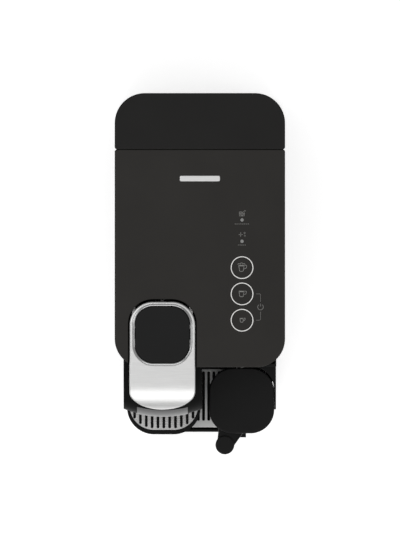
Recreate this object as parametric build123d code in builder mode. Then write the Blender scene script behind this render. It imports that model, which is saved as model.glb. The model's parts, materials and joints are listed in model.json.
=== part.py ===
# Pod coffee machine with a milk jug, as an assembly of separate pieces.
# Millimetres. +Z is up, -Y is the front, +X is the right side seen from the front.
# The origin is on the table, under the middle of the whole machine.
import os
from math import atan2, cos, degrees, hypot, radians, sin

from build123d import *

os.makedirs("parts", exist_ok=True)

# ---- overall sizes ----
overall_depth = 325.2  # back of the tank to the front of the milk spout
overall_height = 257.0  # table to the top of the closed lever
tank_depth = 50.4

# ---- casing ----
wall = 2.5
seam = 0.3  # visible joint between two casing pieces
seat_gap = 0.2  # play of a piece that drops into another
front_corner = 25.5
rear_corner = 27.0
front_inset = 7.9  # the front section is this much narrower, each side
panel_thickness = 3.0
panel_skirt = 6.0
foot_height = 2.0
foot_sink = 1.0
foot_radius = 8.0
chassis_thickness = 5.0

# ---- lever and brew unit ----
lever_length = 98.0
lever_overlap = 58.8  # length of the lever that lies over the top panel
lever_proud = 2.5
lever_thickness = 4.0
lever_skirt = 7.0
lever_skirt_wall = 2.0
lever_bend = 26.0  # radius of the downward bend at the front
lever_bend_angle = 70.0
lever_tip = 16.6  # depth of the elliptical front end
lever_corner = 21.0
lever_edge = 2.5
lever_from_left = 5.4  # from the side of the front section to the lever
recess_gap = 1.3
recess_rear_gap = 2.3
insert_rail = 4.5  # silver rim beside the dark insert
insert_length = 51.6
insert_corner = 17.0
insert_behind = 3.7  # silver rim behind the dark insert
insert_gap = 0.4
shaft_radius = 2.5
shaft_play = 0.05
bush_wall = 1.0
bush_seat = 1.0  # plastic round each bush
shaft_behind_rim = 22.0  # the lever's axis, in front of its rear edge
shaft_drop = 9.0  # the lever's axis, under the lever's top
cage_cover = 27.0  # from the lever's top down to the cage
capsule_radius = 18.5
capsule_height = 29.0
cage_radius = 21.0
cage_length = 35.0
cage_stroke = 31.0
lever_swing = 58.0
pin_radius = 2.5
pin_play = 0.25
pin_lead = 13.3  # the follower pin, in front of the lever's axis when closed
side_plate = 2.5
side_gap = 0.3
cam_thickness = 3.0
cam_rim = 4.5  # metal beside the slot
inlet_radius = 4.0

# ---- brew head ----
head_margin = 6.2  # from the lever to the head's right side
head_reach = 44.3  # from the top panel's front edge, at the middle of the head
head_bow = 6.6  # the head's front is this much further out in the middle
head_bottom = 160.0
head_top_drop = 13.0  # under the lever's top
head_round = 28.0
outlet_radius = 6.0
outlet_drop = 9.0
outlet_depth = 14.0

# ---- drip tray, capsule bin and cup support ----
tray_inset = 2.6  # the tray is this much narrower than the front section, each side
tray_setback = 0.0  # the tray's front, behind the jug lid's
tray_height = 27.0
tray_corner = 31.0
tray_wall = 2.2
tray_play = 0.3
grid_thickness = 2.0
grid_margin = 4.2
grid_pitch = 4.7
grid_slot = 2.5
grid_slots = 24
bin_depth = 86.0
bin_top_gap = 1.5  # the bin's rim, under the coffee outlet
support_margin = 3.8  # the support is this much narrower than the head
support_reach = 61.9
support_corner = 24.5
support_top = 82.0
support_thickness = 6.0
support_rim = 2.2
support_front_rim = 3.9
support_pitch = 5.3
support_slot = 2.4
support_slots = 11
hinge_radius = 3.5
hinge_pin_radius = 1.5

# ---- milk jug ----
jug_lid_size = 58.9
jug_lid_corner = 21.6
jug_gap = 1.2  # lid to the top panel's edge
head_gap = 6.2  # lid to the brew head
wing_thickness = 1.2
wing_gap = 0.3
jug_bottom_gap = 0.3
jug_height = 114.0
jug_foot_height = 22.0
jug_wall = 2.0
jug_shrink = 1.3  # the jug is this much inside the lid, each side
jug_taper = 1.6
lid_base_height = 17.0
lid_cap_height = 8.0
spout_thickness = 10.0
spout_reach = 19.0  # the knob's front, in front of the lid
spout_aside = 15.1  # the knob's middle, left of the jug's middle
spout_hub = 18.0
spout_knob = 8.5
spout_nozzle = 5.0
spout_nozzle_length = 26.0
spout_bore = 2.5
nozzle_radius = 5.0
nozzle_play = 0.3
nozzle_length = 10.0

# ---- controls ----
button_radius = 9.0
button_travel = 0.8
button_play = 0.3
ring_width = 1.0
button_space = 3.0  # between two rings
button_from_right = 38.65
first_button = 89.4  # first button, behind the top panel's front edge
led_radius = 1.5
led_offsets = (42.8, 23.7)  # status lights, behind the first button
board_thickness = 1.6
switch_size = 6.0
switch_height = 4.3

# ---- places worked out from the sizes ----
frame_outer = cage_radius + side_gap * 2 + side_plate
cam_inner = frame_outer + side_gap
cam_outer = cam_inner + cam_thickness
lever_width = 2 * (cam_outer + 0.1 + lever_skirt_wall)
insert_width = lever_width - 2 * insert_rail
head_width = lever_from_left + lever_width + head_margin
body_width = (
    head_width + head_gap + jug_lid_size + wing_gap + wing_thickness + 2 * front_inset
)
front_reach = jug_gap + jug_lid_size + spout_reach
tray_reach = jug_gap + jug_lid_size - tray_setback
support_width = head_width - support_margin
button_pitch = 2 * (button_radius + button_play + ring_width) + button_space
half = body_width / 2
rear_y = overall_depth / 2
panel_front = -overall_depth / 2 + front_reach
tank_front = rear_y - tank_depth
shell_rear = tank_front - seam
front_half = half - front_inset
tray_half_width = front_half - tray_inset
lever_top = overall_height
panel_top = overall_height - lever_proud
panel_bottom = panel_top - panel_thickness
shell_top = panel_bottom - seam
chassis_top = foot_height + chassis_thickness

lever_x = -front_half + lever_from_left + lever_width / 2
lever_rear = panel_front + lever_overlap
lever_front = lever_rear - lever_length
shaft_y = lever_rear - shaft_behind_rim
shaft_z = lever_top - shaft_drop
cage_z = lever_top - cage_cover - cage_radius
pin_y = shaft_y - pin_lead
cam_reach = hypot(pin_lead, shaft_z - cage_z) + pin_radius + cam_rim
cage_back = pin_y + 8.0
cage_front = cage_back - cage_length
plate_face = cage_front  # the extraction plate's face
frame_front = plate_face - 12.0
outlet_y = frame_front - outlet_depth / 2 - 0.3

head_left = -front_half
head_right = head_left + head_width
head_front = panel_front - head_reach
head_top = lever_top - head_top_drop
head_inside = panel_front + 9.0  # how far the head reaches back into the shell

tray_bottom = chassis_top + tray_play
tray_top = tray_bottom + tray_height
tray_front = panel_front - tray_reach
tray_back = panel_front - 0.5
bin_front = plate_face - 2.0
bin_left = -tray_half_width
bin_right = head_right - 1.5
bin_top = head_bottom - outlet_drop - bin_top_gap
bin_rear = bin_front + bin_depth
support_left = head_left + 2.5
support_right = support_left + support_width
support_front = panel_front - support_reach
hinge_y = bin_front - hinge_radius - 1.6
hinge_z = support_top - hinge_radius

jug_rear = panel_front - jug_gap
jug_x = front_half - wing_thickness - wing_gap - jug_lid_size / 2
jug_y = jug_rear - jug_lid_size / 2
jug_bottom = tray_top + jug_bottom_gap
jug_top = jug_bottom + jug_height
lid_base_top = jug_top + lid_base_height
spout_bottom = lid_base_top + 0.4
spout_top = spout_bottom + spout_thickness
cap_bottom = spout_top + 0.4
cap_top = cap_bottom + lid_cap_height
connector_z = jug_top + lid_base_height / 2
# the parked arm points forward, turned towards the left
knob_x = jug_x - spout_aside
knob_y = -overall_depth / 2 + spout_knob
spout_arm = hypot(knob_x - jug_x, knob_y - jug_y)
spout_angle = degrees(atan2(knob_y - jug_y, knob_x - jug_x))

button_x = half - button_from_right
button_ys = [panel_front + first_button - button_pitch * n for n in range(3)]
led_ys = [button_ys[0] + offset for offset in led_offsets]
board_top = panel_bottom - 5.4 - switch_height


def plan(z, x_low, x_high, y_low, y_high, front_r=0.0, rear_r=0.0):
    """A flat outline at height z, with its front and rear corners rounded."""
    with BuildSketch(Plane.XY.offset(z)) as outline:
        with Locations(((x_low + x_high) / 2, (y_low + y_high) / 2)):
            Rectangle(x_high - x_low, y_high - y_low)
        if front_r:
            fillet(outline.vertices().group_by(Axis.Y)[0], front_r)
        if rear_r:
            fillet(outline.vertices().group_by(Axis.Y)[-1], rear_r)
    return outline.sketch


def squircle(z, x, y, size, corner):
    """A square with large round corners, centred on x, y at height z."""
    with BuildSketch(Plane.XY.offset(z)) as outline:
        with Locations((x, y)):
            RectangleRounded(size, size, corner)
    return outline.sketch


def disc(z, x, y, radius):
    """A round outline at height z."""
    with BuildSketch(Plane.XY.offset(z)) as outline:
        with Locations((x, y)):
            Circle(radius)
    return outline.sketch


def block(x_low, x_high, y_low, y_high, z_low, z_high, mode=Mode.ADD):
    """A box between two corners, in the part that is being built."""
    with Locations(((x_low + x_high) / 2, (y_low + y_high) / 2, (z_low + z_high) / 2)):
        Box(x_high - x_low, y_high - y_low, z_high - z_low, mode=mode)


def rod(start, axis, radius, length, mode=Mode.ADD):
    """A round bar from start, along axis, in the part that is being built."""
    with Locations(Plane(origin=start, z_dir=axis)):
        Cylinder(
            radius, length, align=(Align.CENTER, Align.CENTER, Align.MIN), mode=mode
        )


def hose(points):
    """A round hose through points, with its corners rounded."""
    with BuildPart() as piece:
        with BuildLine() as route:
            if len(points) > 2:
                FilletPolyline(*points, radius=hose_radius * 2.2)
            else:
                Line(*points)
        with BuildSketch(Plane(origin=route.line @ 0, z_dir=route.line % 0)):
            Circle(hose_radius)
        sweep(path=route.line)
    return piece.part


def save(piece, name):
    """Labels a finished piece and writes its file."""
    piece.part.label = name
    export_step(piece.part, f"parts/{name}.step")


# ==== base ====
feet_places = [
    (-front_half + 22, tray_front + 26),
    (front_half - 22, tray_front + 26),
    (-half + 16, panel_front + 26),
    (half - 16, panel_front + 26),
    (-half + 20, rear_y - 18),
    (half - 20, rear_y - 18),
]
screw_places = [
    (-half + 12, panel_front + 100),
    (half - 12, panel_front + 100),
    (-half + 12, shell_rear - 12),
    (half - 12, shell_rear - 12),
]
screw_radius = 1.6
boss_radius = 4.0

with BuildPart() as base_chassis:
    extrude(
        plan(foot_height, -half, half, panel_front, rear_y, front_corner, rear_corner),
        amount=chassis_thickness,
    )
    extrude(
        plan(
            foot_height,
            -tray_half_width + 1,
            tray_half_width - 1,
            tray_front + 2.5,
            panel_front + front_corner,
            tray_corner - 2,
        ),
        amount=chassis_thickness,
    )
    fillet(base_chassis.edges().group_by(Axis.Z)[0], 1.0)
    # locating lip inside the shell, open at the front for the tray
    lip = wall + seat_gap
    with BuildSketch(Plane.XY.offset(chassis_top)):
        add(
            plan(
                0,
                -half + lip,
                half - lip,
                panel_front + lip,
                shell_rear - lip,
                front_corner - lip,
                1,
            )
        )
        add(
            plan(
                0,
                -half + lip + 2,
                half - lip - 2,
                panel_front + lip + 2,
                shell_rear - lip - 2,
                front_corner - lip - 2,
            ),
            mode=Mode.SUBTRACT,
        )
    extrude(amount=4)
    block(
        -front_half - 1,
        front_half + 1,
        panel_front,
        panel_front + front_corner,
        chassis_top,
        chassis_top + 5,
        Mode.SUBTRACT,
    )
    for x, y in feet_places:
        extrude(
            disc(foot_height, x, y, foot_radius + seat_gap / 2),
            amount=foot_sink,
            mode=Mode.SUBTRACT,
        )
    for x, y in screw_places:
        extrude(disc(foot_height, x, y, screw_radius + 0.3), amount=10, mode=Mode.SUBTRACT)
        extrude(disc(foot_height, x, y, screw_radius * 2 + 0.3), amount=2.5, mode=Mode.SUBTRACT)
save(base_chassis, "base_chassis")

with BuildPart() as rubber_feet:
    for x, y in feet_places:
        extrude(disc(0, x, y, foot_radius), amount=foot_height + foot_sink)
    fillet(rubber_feet.edges().group_by(Axis.Z)[0], 0.6)
save(rubber_feet, "rubber_feet")

with BuildPart() as casing_screws:
    for x, y in screw_places:
        extrude(disc(foot_height + 0.3, x, y, screw_radius * 2), amount=2.2)
        extrude(disc(foot_height + 2.5, x, y, screw_radius), amount=14)
        with BuildSketch(Plane.XY.offset(foot_height + 0.3)):
            with Locations((x, y)):
                Rectangle(4, 0.9)
                Rectangle(0.9, 4)
        extrude(amount=1.2, mode=Mode.SUBTRACT)
save(casing_screws, "casing_screws")

# ==== outer casing ====
hose_gate_z = chassis_top + 11  # the tank's hose goes through the casing here
hose_gate = 8.0
mouth_half = front_half + seam

with BuildPart() as outer_shell:
    shell_height = shell_top - chassis_top
    extrude(
        plan(chassis_top, -half, half, panel_front, shell_rear, front_corner, 2),
        amount=shell_height,
    )
    extrude(
        plan(
            chassis_top,
            -half + wall,
            half - wall,
            panel_front + wall,
            shell_rear - wall,
            front_corner - wall,
        ),
        amount=shell_height,
        mode=Mode.SUBTRACT,
    )
    block(
        -mouth_half,
        mouth_half,
        panel_front - 1,
        panel_front + front_corner * 0.7,
        chassis_top,
        shell_top,
        Mode.SUBTRACT,
    )
    rod((0, shell_rear + 1, hose_gate_z), (0, -1, 0), hose_gate, wall + 2, Mode.SUBTRACT)
    for x, y in screw_places:
        reach = half - abs(x)
        side = 1 if x > 0 else -1
        extrude(disc(chassis_top, x, y, boss_radius), amount=18)
        block(
            min(x, side * (half - 1)),
            max(x, side * (half - 1)),
            y - 1,
            y + 1,
            chassis_top + 5,
            chassis_top + 18,
        )
        extrude(disc(chassis_top, x, y, screw_radius), amount=15, mode=Mode.SUBTRACT)
save(outer_shell, "outer_shell")

# ==== top panel ====
recess_left = lever_x - lever_width / 2 - recess_gap
recess_right = lever_x + lever_width / 2 + recess_gap
recess_rear = lever_rear + recess_rear_gap

with BuildPart() as top_panel:
    extrude(
        plan(panel_bottom, -half, half, panel_front, shell_rear, front_corner, 2),
        amount=panel_thickness,
    )
    fillet(top_panel.edges().group_by(Axis.Z)[-1], 0.8)
    with BuildSketch(Plane.XY.offset(panel_bottom)):
        add(
            plan(
                0,
                -half + lip,
                half - lip,
                panel_front + lip,
                shell_rear - lip,
                front_corner - lip,
                1,
            )
        )
        add(
            plan(
                0,
                -half + lip + 1.8,
                half - lip - 1.8,
                panel_front + lip + 1.8,
                shell_rear - lip - 1.8,
                front_corner - lip - 1.8,
            ),
            mode=Mode.SUBTRACT,
        )
    extrude(amount=-panel_skirt)
    # the lip stays clear of the mouth and of the lever's recess
    block(
        -mouth_half - 0.5,
        mouth_half + 0.5,
        panel_front,
        panel_front + front_corner * 0.7,
        panel_bottom - panel_skirt,
        panel_bottom,
        Mode.SUBTRACT,
    )
    extrude(
        plan(
            panel_bottom - 0.1,
            recess_left,
            recess_right,
            panel_front - 1,
            recess_rear,
            0,
            lever_corner + recess_gap,
        ),
        amount=panel_thickness + 1,
        mode=Mode.SUBTRACT,
    )
    for y in button_ys:
        extrude(
            disc(panel_bottom, button_x, y, button_radius + button_play + ring_width),
            amount=panel_thickness,
            mode=Mode.SUBTRACT,
        )
    for y in led_ys:
        extrude(
            disc(panel_bottom, button_x, y, led_radius),
            amount=panel_thickness,
            mode=Mode.SUBTRACT,
        )
    # pillars that carry the control board
    for x in (button_x - 19, button_x + 19):
        for y in (button_ys[-1] - 14, led_ys[0] + 8):
            extrude(disc(board_top, x, y, 2.5), amount=panel_bottom - board_top)
save(top_panel, "top_panel")

badge_y = panel_front + 169.4
badge_size = (36.0, 5.0)
with BuildPart() as blank_badge:
    with BuildSketch(Plane.XY.offset(panel_top)):
        with Locations((0, badge_y)):
            RectangleRounded(badge_size[0], badge_size[1], 1.2)
    extrude(amount=0.6)
    fillet(blank_badge.edges().group_by(Axis.Z)[-1], 0.25)
save(blank_badge, "blank_badge")

# ==== controls ====
ring_outer = button_radius + button_play + ring_width
with BuildPart() as button_light_rings:
    for y in button_ys:
        extrude(disc(panel_bottom, button_x, y, ring_outer), amount=panel_thickness + 0.15)
        extrude(
            disc(panel_bottom, button_x, y, button_radius + button_play),
            amount=panel_thickness + 0.15,
            mode=Mode.SUBTRACT,
        )
save(button_light_rings, "button_light_rings")

switch_top = board_top + switch_height
for y, name in zip(button_ys, ("milk_button", "lungo_button", "espresso_button")):
    with BuildPart() as button:
        extrude(disc(panel_bottom, button_x, y, button_radius), amount=panel_thickness + 0.1)
        fillet(button.edges().group_by(Axis.Z)[-1], 0.3)
        stem_bottom = switch_top + button_travel + 0.2
        extrude(disc(stem_bottom, button_x, y, 2), amount=panel_bottom - stem_bottom)
        for turn in range(3):
            with BuildSketch(Plane.XY.offset(panel_bottom - 2)):
                with Locations((button_x, y)):
                    with PolarLocations(button_radius / 2, 1, 90 + 120 * turn):
                        Rectangle(button_radius * 0.9, 1.2)
            extrude(amount=2)
    save(button, name)

with BuildPart() as status_lenses:
    for y in led_ys:
        extrude(disc(board_top + 1, button_x, y, led_radius), amount=panel_top - board_top - 0.9)
save(status_lenses, "status_lenses")

with BuildPart() as control_board:
    block(
        button_x - 23,
        button_x + 23,
        button_ys[-1] - 18,
        led_ys[0] + 12,
        board_top - board_thickness,
        board_top,
    )
save(control_board, "control_board")

with BuildPart() as key_switches:
    for y in button_ys:
        block(
            button_x - switch_size / 2,
            button_x + switch_size / 2,
            y - switch_size / 2,
            y + switch_size / 2,
            board_top,
            switch_top - 1,
        )
        extrude(disc(switch_top - 1, button_x, y, 1.7), amount=1)
save(key_switches, "key_switches")

# ==== front of the body: cradle for the jug ====
cradle_left = head_right + seam
cradle_round = jug_lid_corner + wing_gap
wing_inner = front_half - wing_thickness
cradle_face = panel_front + 0.5
wing_front = panel_front - 38.5
cradle_top = cap_top
with BuildPart() as front_cradle:
    with BuildSketch(Plane.XY.offset(tray_top + 1)):
        with BuildLine():
            Line((cradle_left, cradle_face), (wing_inner - cradle_round, cradle_face))
            RadiusArc(
                (wing_inner - cradle_round, cradle_face),
                (wing_inner, cradle_face - cradle_round),
                cradle_round,
            )
            Line((wing_inner, cradle_face - cradle_round), (wing_inner, wing_front))
            Line((wing_inner, wing_front), (front_half, wing_front))
            Line((front_half, wing_front), (front_half, panel_front + 7.5))
            Line((front_half, panel_front + 7.5), (cradle_left, panel_front + 7.5))
            Line((cradle_left, panel_front + 7.5), (cradle_left, cradle_face))
        make_face()
    extrude(amount=cradle_top - tray_top - 1)
    # upper front wall, from the cradle to the top panel
    block(
        cradle_left,
        front_half,
        cradle_face,
        panel_front + 3,
        cradle_top,
        panel_bottom - seam,
    )
    block(
        front_half - wing_thickness,
        front_half,
        cradle_face,
        panel_front + 7.5,
        cradle_top,
        panel_bottom - seam,
    )
    # hollow behind the face
    block(
        cradle_left + 2,
        wing_inner - cradle_round,
        panel_front + 3,
        panel_front + 8,
        tray_top + 3,
        cradle_top - 2,
        Mode.SUBTRACT,
    )
    rod(
        (jug_x, panel_front - 1, connector_z),
        (0, 1, 0),
        nozzle_radius + 2,
        12,
        Mode.SUBTRACT,
    )
save(front_cradle, "front_cradle")

# ==== brew head cover ====


def head_plan(z, inset):
    """The head's outline at height z, with its bowed front, drawn in by inset."""
    left, right = head_left + inset, head_right - inset
    middle = (left + right) / 2
    corner_y = head_front + head_bow + inset
    with BuildSketch(Plane.XY.offset(z)) as outline:
        with BuildLine():
            ThreePointArc((left, corner_y), (middle, head_front + inset), (right, corner_y))
            Polyline(
                (right, corner_y), (right, head_inside), (left, head_inside), (left, corner_y)
            )
        make_face()
    return outline.sketch


def head_form(inset):
    """The head's solid form with its rounded top front edge, drawn in by inset."""
    with BuildPart() as form:
        extrude(
            head_plan(head_bottom + inset, inset), amount=head_top - head_bottom - 2 * inset
        )
        fillet(
            form.edges().group_by(Axis.Z)[-1].sort_by(Axis.Y)[0], head_round - inset
        )
    return form.part


with BuildPart() as brew_head_cover:
    add(head_form(0))
    add(head_form(wall), mode=Mode.SUBTRACT)
    # open at the back, where it meets the brew unit, and over the capsule's way in
    block(
        head_left + wall,
        head_right - wall,
        head_inside - 0.5 - wall,
        head_inside + 1,
        head_bottom + wall,
        head_top - wall,
        Mode.SUBTRACT,
    )
    block(
        lever_x - cam_outer - side_gap,
        lever_x + cam_outer + side_gap,
        shaft_y - cam_reach - 0.5,
        head_inside + 1,
        head_top - wall - 1,
        head_top + 1,
        Mode.SUBTRACT,
    )
    # open underneath, over the bin
    block(
        head_left + wall,
        head_right - wall,
        bin_front + wall,
        head_inside + 1,
        head_bottom - 1,
        head_bottom + wall + 1,
        Mode.SUBTRACT,
    )
    rod(
        (lever_x, outlet_y, head_bottom - 1),
        (0, 0, 1),
        outlet_radius + 0.5,
        wall + 2,
        Mode.SUBTRACT,
    )
save(brew_head_cover, "brew_head_cover")

# thin inlay that follows the head's rounded front, under the lever's lip
inlay_width = 45.6
inlay_low = head_top - head_round - 2.0
inlay_high = inlay_low + 19.0
with BuildPart() as head_inlay:
    add(head_form(-0.5))
    add(head_form(0), mode=Mode.SUBTRACT)
    with Locations((lever_x, head_front, (inlay_low + inlay_high) / 2)):
        Box(inlay_width, head_reach, inlay_high - inlay_low, mode=Mode.INTERSECT)
save(head_inlay, "head_inlay")

# ==== brew unit ====
frame_inner = frame_outer - side_plate
frame_rear = cage_back + cage_stroke + 26.0
frame_low = cage_z - cage_radius - 4.0
frame_high = cage_z + cage_radius + 3.5
inlet_length = cage_stroke + 8.0
manifold_front = cage_back + cage_stroke + 0.5
manifold_depth = cage_back + cage_stroke + inlet_length + 1.0 - manifold_front
bush_outer = shaft_radius + shaft_play + bush_wall

with BuildPart() as brew_frame:
    for side in (-1, 1):
        x_low = lever_x + min(side * frame_inner, side * frame_outer)
        x_high = x_low + side_plate
        block(x_low, x_high, frame_front, frame_rear, frame_low, frame_high)
        # tower that carries the lever's shaft
        block(
            x_low, x_high, shaft_y - 9, shaft_y + bush_outer + bush_seat, frame_high - 1, shaft_z,
        )
        rod((x_low, shaft_y, shaft_z), (1, 0, 0), bush_outer + bush_seat, side_plate)
        rod((x_low - 1, shaft_y, shaft_z), (1, 0, 0), bush_outer, side_plate + 2, Mode.SUBTRACT)
        # straight slot that guides the cage
        with BuildSketch(Plane.YZ.offset(x_low - 1)):
            with Locations((pin_y + cage_stroke / 2, cage_z)):
                SlotCenterToCenter(cage_stroke + 1, 2 * (pin_radius + pin_play))
        extrude(amount=side_plate + 2, mode=Mode.SUBTRACT)
    # front block that holds the extraction plate, and rear block for the manifold
    block(
        lever_x - frame_inner, lever_x + frame_inner, frame_front, frame_front + 8,
        frame_low, frame_high,
    )
    block(
        lever_x - frame_inner, lever_x + frame_inner, frame_rear - 6, frame_rear,
        frame_low, frame_high,
    )
    rod(
        (lever_x, frame_front - 1, cage_z), (0, 1, 0), capsule_radius - 3, 10, Mode.SUBTRACT
    )
    rod(
        (lever_x, frame_rear - 7, cage_z), (0, 1, 0), inlet_radius + 3, 8, Mode.SUBTRACT
    )
save(brew_frame, "brew_frame")

with BuildPart() as extraction_plate:
    rod((lever_x, frame_front + 8, cage_z), (0, 1, 0), capsule_radius + 1, 3.9)
    # small pyramids that tear the capsule's foil stand on the face
    with BuildSketch(Plane(origin=(lever_x, frame_front + 8, cage_z), z_dir=(0, 1, 0))):
        with GridLocations(4, 4, 6, 6):
            Rectangle(1.4, 1.4)
    extrude(amount=4, mode=Mode.SUBTRACT)
save(extraction_plate, "extraction_plate")

spout_top_z = cage_z + 10.0
with BuildPart() as coffee_outlet:
    with BuildSketch(Plane.YZ.offset(lever_x - 11)):
        with BuildLine():
            Polyline(
                (frame_front - 0.1, cage_z - capsule_radius),
                (frame_front - 0.1, spout_top_z),
                (frame_front - 6, spout_top_z),
                (outlet_y - outlet_depth / 2, cage_z - 12),
                (outlet_y - outlet_depth / 2, head_bottom + 6),
                (outlet_y + outlet_depth / 2, head_bottom + 6),
                (outlet_y + outlet_depth / 2, cage_z - capsule_radius),
                (frame_front - 0.1, cage_z - capsule_radius),
            )
        make_face()
    extrude(amount=22)
    rod(
        (lever_x, outlet_y, head_bottom - outlet_drop), (0, 0, 1), outlet_radius,
        outlet_drop + 7,
    )
    rod(
        (lever_x, outlet_y, head_bottom - outlet_drop - 1), (0, 0, 1), outlet_radius - 2,
        outlet_drop + 40, Mode.SUBTRACT,
    )
save(coffee_outlet, "coffee_outlet")

with BuildPart() as capsule_guide:
    guide_z = cage_z + cage_radius + 0.6
    block(
        lever_x - frame_inner, lever_x + frame_inner, frame_front + 8.1, shaft_y - 8,
        guide_z, guide_z + 2.8,
    )
    with BuildSketch(Plane.XY.offset(guide_z)):
        with Locations((lever_x, plate_face + 5)):
            Rectangle(2 * capsule_radius + 2, 9)
        with Locations((lever_x, plate_face + capsule_height / 2 + 1)):
            Rectangle(2 * capsule_radius - 8, capsule_height)
    extrude(amount=3, mode=Mode.SUBTRACT)
save(capsule_guide, "capsule_guide")

with BuildPart() as capsule_cage:
    rod((lever_x, cage_front + 0.2, cage_z), (0, 1, 0), cage_radius, cage_length - 0.2)
    # flats at the sides, where the frame guides it
    for side in (-1, 1):
        block(
            lever_x + min(side * (cage_radius - 1), side * (cage_radius + 5)),
            lever_x + max(side * (cage_radius - 1), side * (cage_radius + 5)),
            cage_front, cage_back + 1, cage_z - cage_radius, cage_z + cage_radius,
            Mode.SUBTRACT,
        )
    with Locations(Plane(origin=(lever_x, cage_front, cage_z), z_dir=(0, 1, 0))):
        Cone(
            15.2, 12.2, 26, align=(Align.CENTER, Align.CENTER, Align.MIN), mode=Mode.SUBTRACT
        )
    # telescopic inlet pipe at the back
    rod((lever_x, cage_back, cage_z), (0, 1, 0), inlet_radius, inlet_length)
    rod(
        (lever_x, cage_back - 12, cage_z), (0, 1, 0), 1.8, inlet_length + 13, Mode.SUBTRACT
    )
    for side in (-1, 1):
        rod(
            (lever_x + side * (cage_radius - 4), pin_y, cage_z), (side, 0, 0), pin_radius, 4,
            Mode.SUBTRACT,
        )
save(capsule_cage, "capsule_cage")

with BuildPart() as piercing_plate:
    rod((lever_x, cage_front + 23.8, cage_z), (0, 1, 0), 11.5, 2.2)
    rod((lever_x, cage_front + 23, cage_z), (0, 1, 0), 1.8, 4, Mode.SUBTRACT)
    for turn in range(3):
        angle = radians(90 + 120 * turn)
        with Locations(
            Plane(
                origin=(lever_x + 7 * cos(angle), cage_front + 23.9, cage_z + 7 * sin(angle)),
                z_dir=(0, -1, 0),
            )
        ):
            Cone(1.6, 0.3, 6, align=(Align.CENTER, Align.CENTER, Align.MIN))
save(piercing_plate, "piercing_plate")

with BuildPart() as cage_pins:
    for side in (-1, 1):
        start = cage_radius - 4
        rod(
            (lever_x + side * start, pin_y, cage_z), (side, 0, 0), pin_radius,
            cam_outer - start,
        )
save(cage_pins, "cage_pins")

with BuildPart() as inlet_manifold:
    start = (lever_x, manifold_front, cage_z)
    rod(start, (0, 1, 0), inlet_radius + 3, manifold_depth + 5)
    rod((lever_x, frame_rear - 8, cage_z), (0, 1, 0), 11, 2)
    rod(start, (0, 1, 0), inlet_radius + shaft_play, manifold_depth, Mode.SUBTRACT)
    rod(start, (0, 1, 0), 1.8, manifold_depth + 6, Mode.SUBTRACT)
save(inlet_manifold, "inlet_manifold")

# ==== lever ====


def lever_profile(drop, thickness):
    """The lever's side view: flat, then bent down at the front."""
    top = lever_top - drop
    bend_y = lever_front + lever_bend * sin(radians(lever_bend_angle))
    radius = lever_bend - drop
    centre = (bend_y, top - radius)
    turn = radians(lever_bend_angle)
    inner = radius - thickness
    with BuildSketch(Plane.YZ.offset(lever_x - lever_width / 2)) as profile:
        with BuildLine():
            RadiusArc((lever_rear - lever_edge, top), (lever_rear, top - lever_edge), lever_edge)
            Line((lever_rear - lever_edge, top), (bend_y, top))
            ThreePointArc(
                (bend_y, top),
                (centre[0] - radius * sin(turn / 2), centre[1] + radius * cos(turn / 2)),
                (centre[0] - radius * sin(turn), centre[1] + radius * cos(turn)),
            )
            Line(
                (centre[0] - radius * sin(turn), centre[1] + radius * cos(turn)),
                (centre[0] - inner * sin(turn), centre[1] + inner * cos(turn)),
            )
            ThreePointArc(
                (centre[0] - inner * sin(turn), centre[1] + inner * cos(turn)),
                (centre[0] - inner * sin(turn / 2), centre[1] + inner * cos(turn / 2)),
                (bend_y, top - thickness),
            )
            Line((bend_y, top - thickness), (lever_rear, top - thickness))
            Line((lever_rear, top - thickness), (lever_rear, top - lever_edge))
        make_face()
    return profile.sketch


def lever_outline(inset):
    """The lever seen from above: round rear corners and an elliptical front end."""
    left = lever_x - lever_width / 2 + inset
    right = lever_x + lever_width / 2 - inset
    rear = lever_rear - inset
    corner = lever_corner - inset
    shoulder = lever_front + lever_tip
    with BuildSketch() as outline:
        with BuildLine():
            Line((left, shoulder), (left, rear - corner))
            RadiusArc((left, rear - corner), (left + corner, rear), corner)
            Line((left + corner, rear), (right - corner, rear))
            RadiusArc((right - corner, rear), (right, rear - corner), corner)
            Line((right, rear - corner), (right, shoulder))
            EllipticalCenterArc(
                (lever_x, shoulder),
                lever_width / 2 - inset,
                lever_tip - inset,
                start_angle=180,
                arc_size=180,
            )
        make_face()
    return outline.sketch


insert_rear = lever_rear - insert_behind
insert_front = insert_rear - insert_length
with BuildPart() as lever_frame:
    extrude(lever_profile(0, lever_thickness), amount=lever_width)
    extrude(lever_outline(0), amount=overall_height + 5, mode=Mode.INTERSECT)
    # side skirts, between the bend and the round rear corners
    skirt_front = lever_front + lever_bend * sin(radians(lever_bend_angle))
    skirt_rear = lever_rear - lever_corner - 2
    with BuildSketch(Plane.XY.offset(lever_top - lever_thickness)):
        add(lever_outline(0))
        add(lever_outline(lever_skirt_wall), mode=Mode.SUBTRACT)
        with Locations((lever_x, (skirt_front + skirt_rear) / 2)):
            Rectangle(lever_width, skirt_rear - skirt_front, mode=Mode.INTERSECT)
    extrude(amount=-lever_skirt)
    # window for the dark insert
    with BuildSketch(Plane.XY.offset(lever_top - lever_thickness - 1)):
        with Locations((lever_x, (insert_rear + insert_front) / 2)):
            RectangleRounded(insert_width, insert_length, insert_corner)
    extrude(amount=lever_thickness + 2, mode=Mode.SUBTRACT)
save(lever_frame, "lever_frame")

with BuildPart() as lever_insert:
    with BuildSketch(Plane.XY.offset(lever_top - lever_thickness)):
        with Locations((lever_x, (insert_rear + insert_front) / 2)):
            RectangleRounded(
                insert_width - 2 * insert_gap, insert_length - 2 * insert_gap,
                insert_corner - insert_gap,
            )
    extrude(amount=lever_thickness - 0.8)
    fillet(lever_insert.edges().group_by(Axis.Z)[-1], 0.6)
save(lever_insert, "lever_insert")

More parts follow.
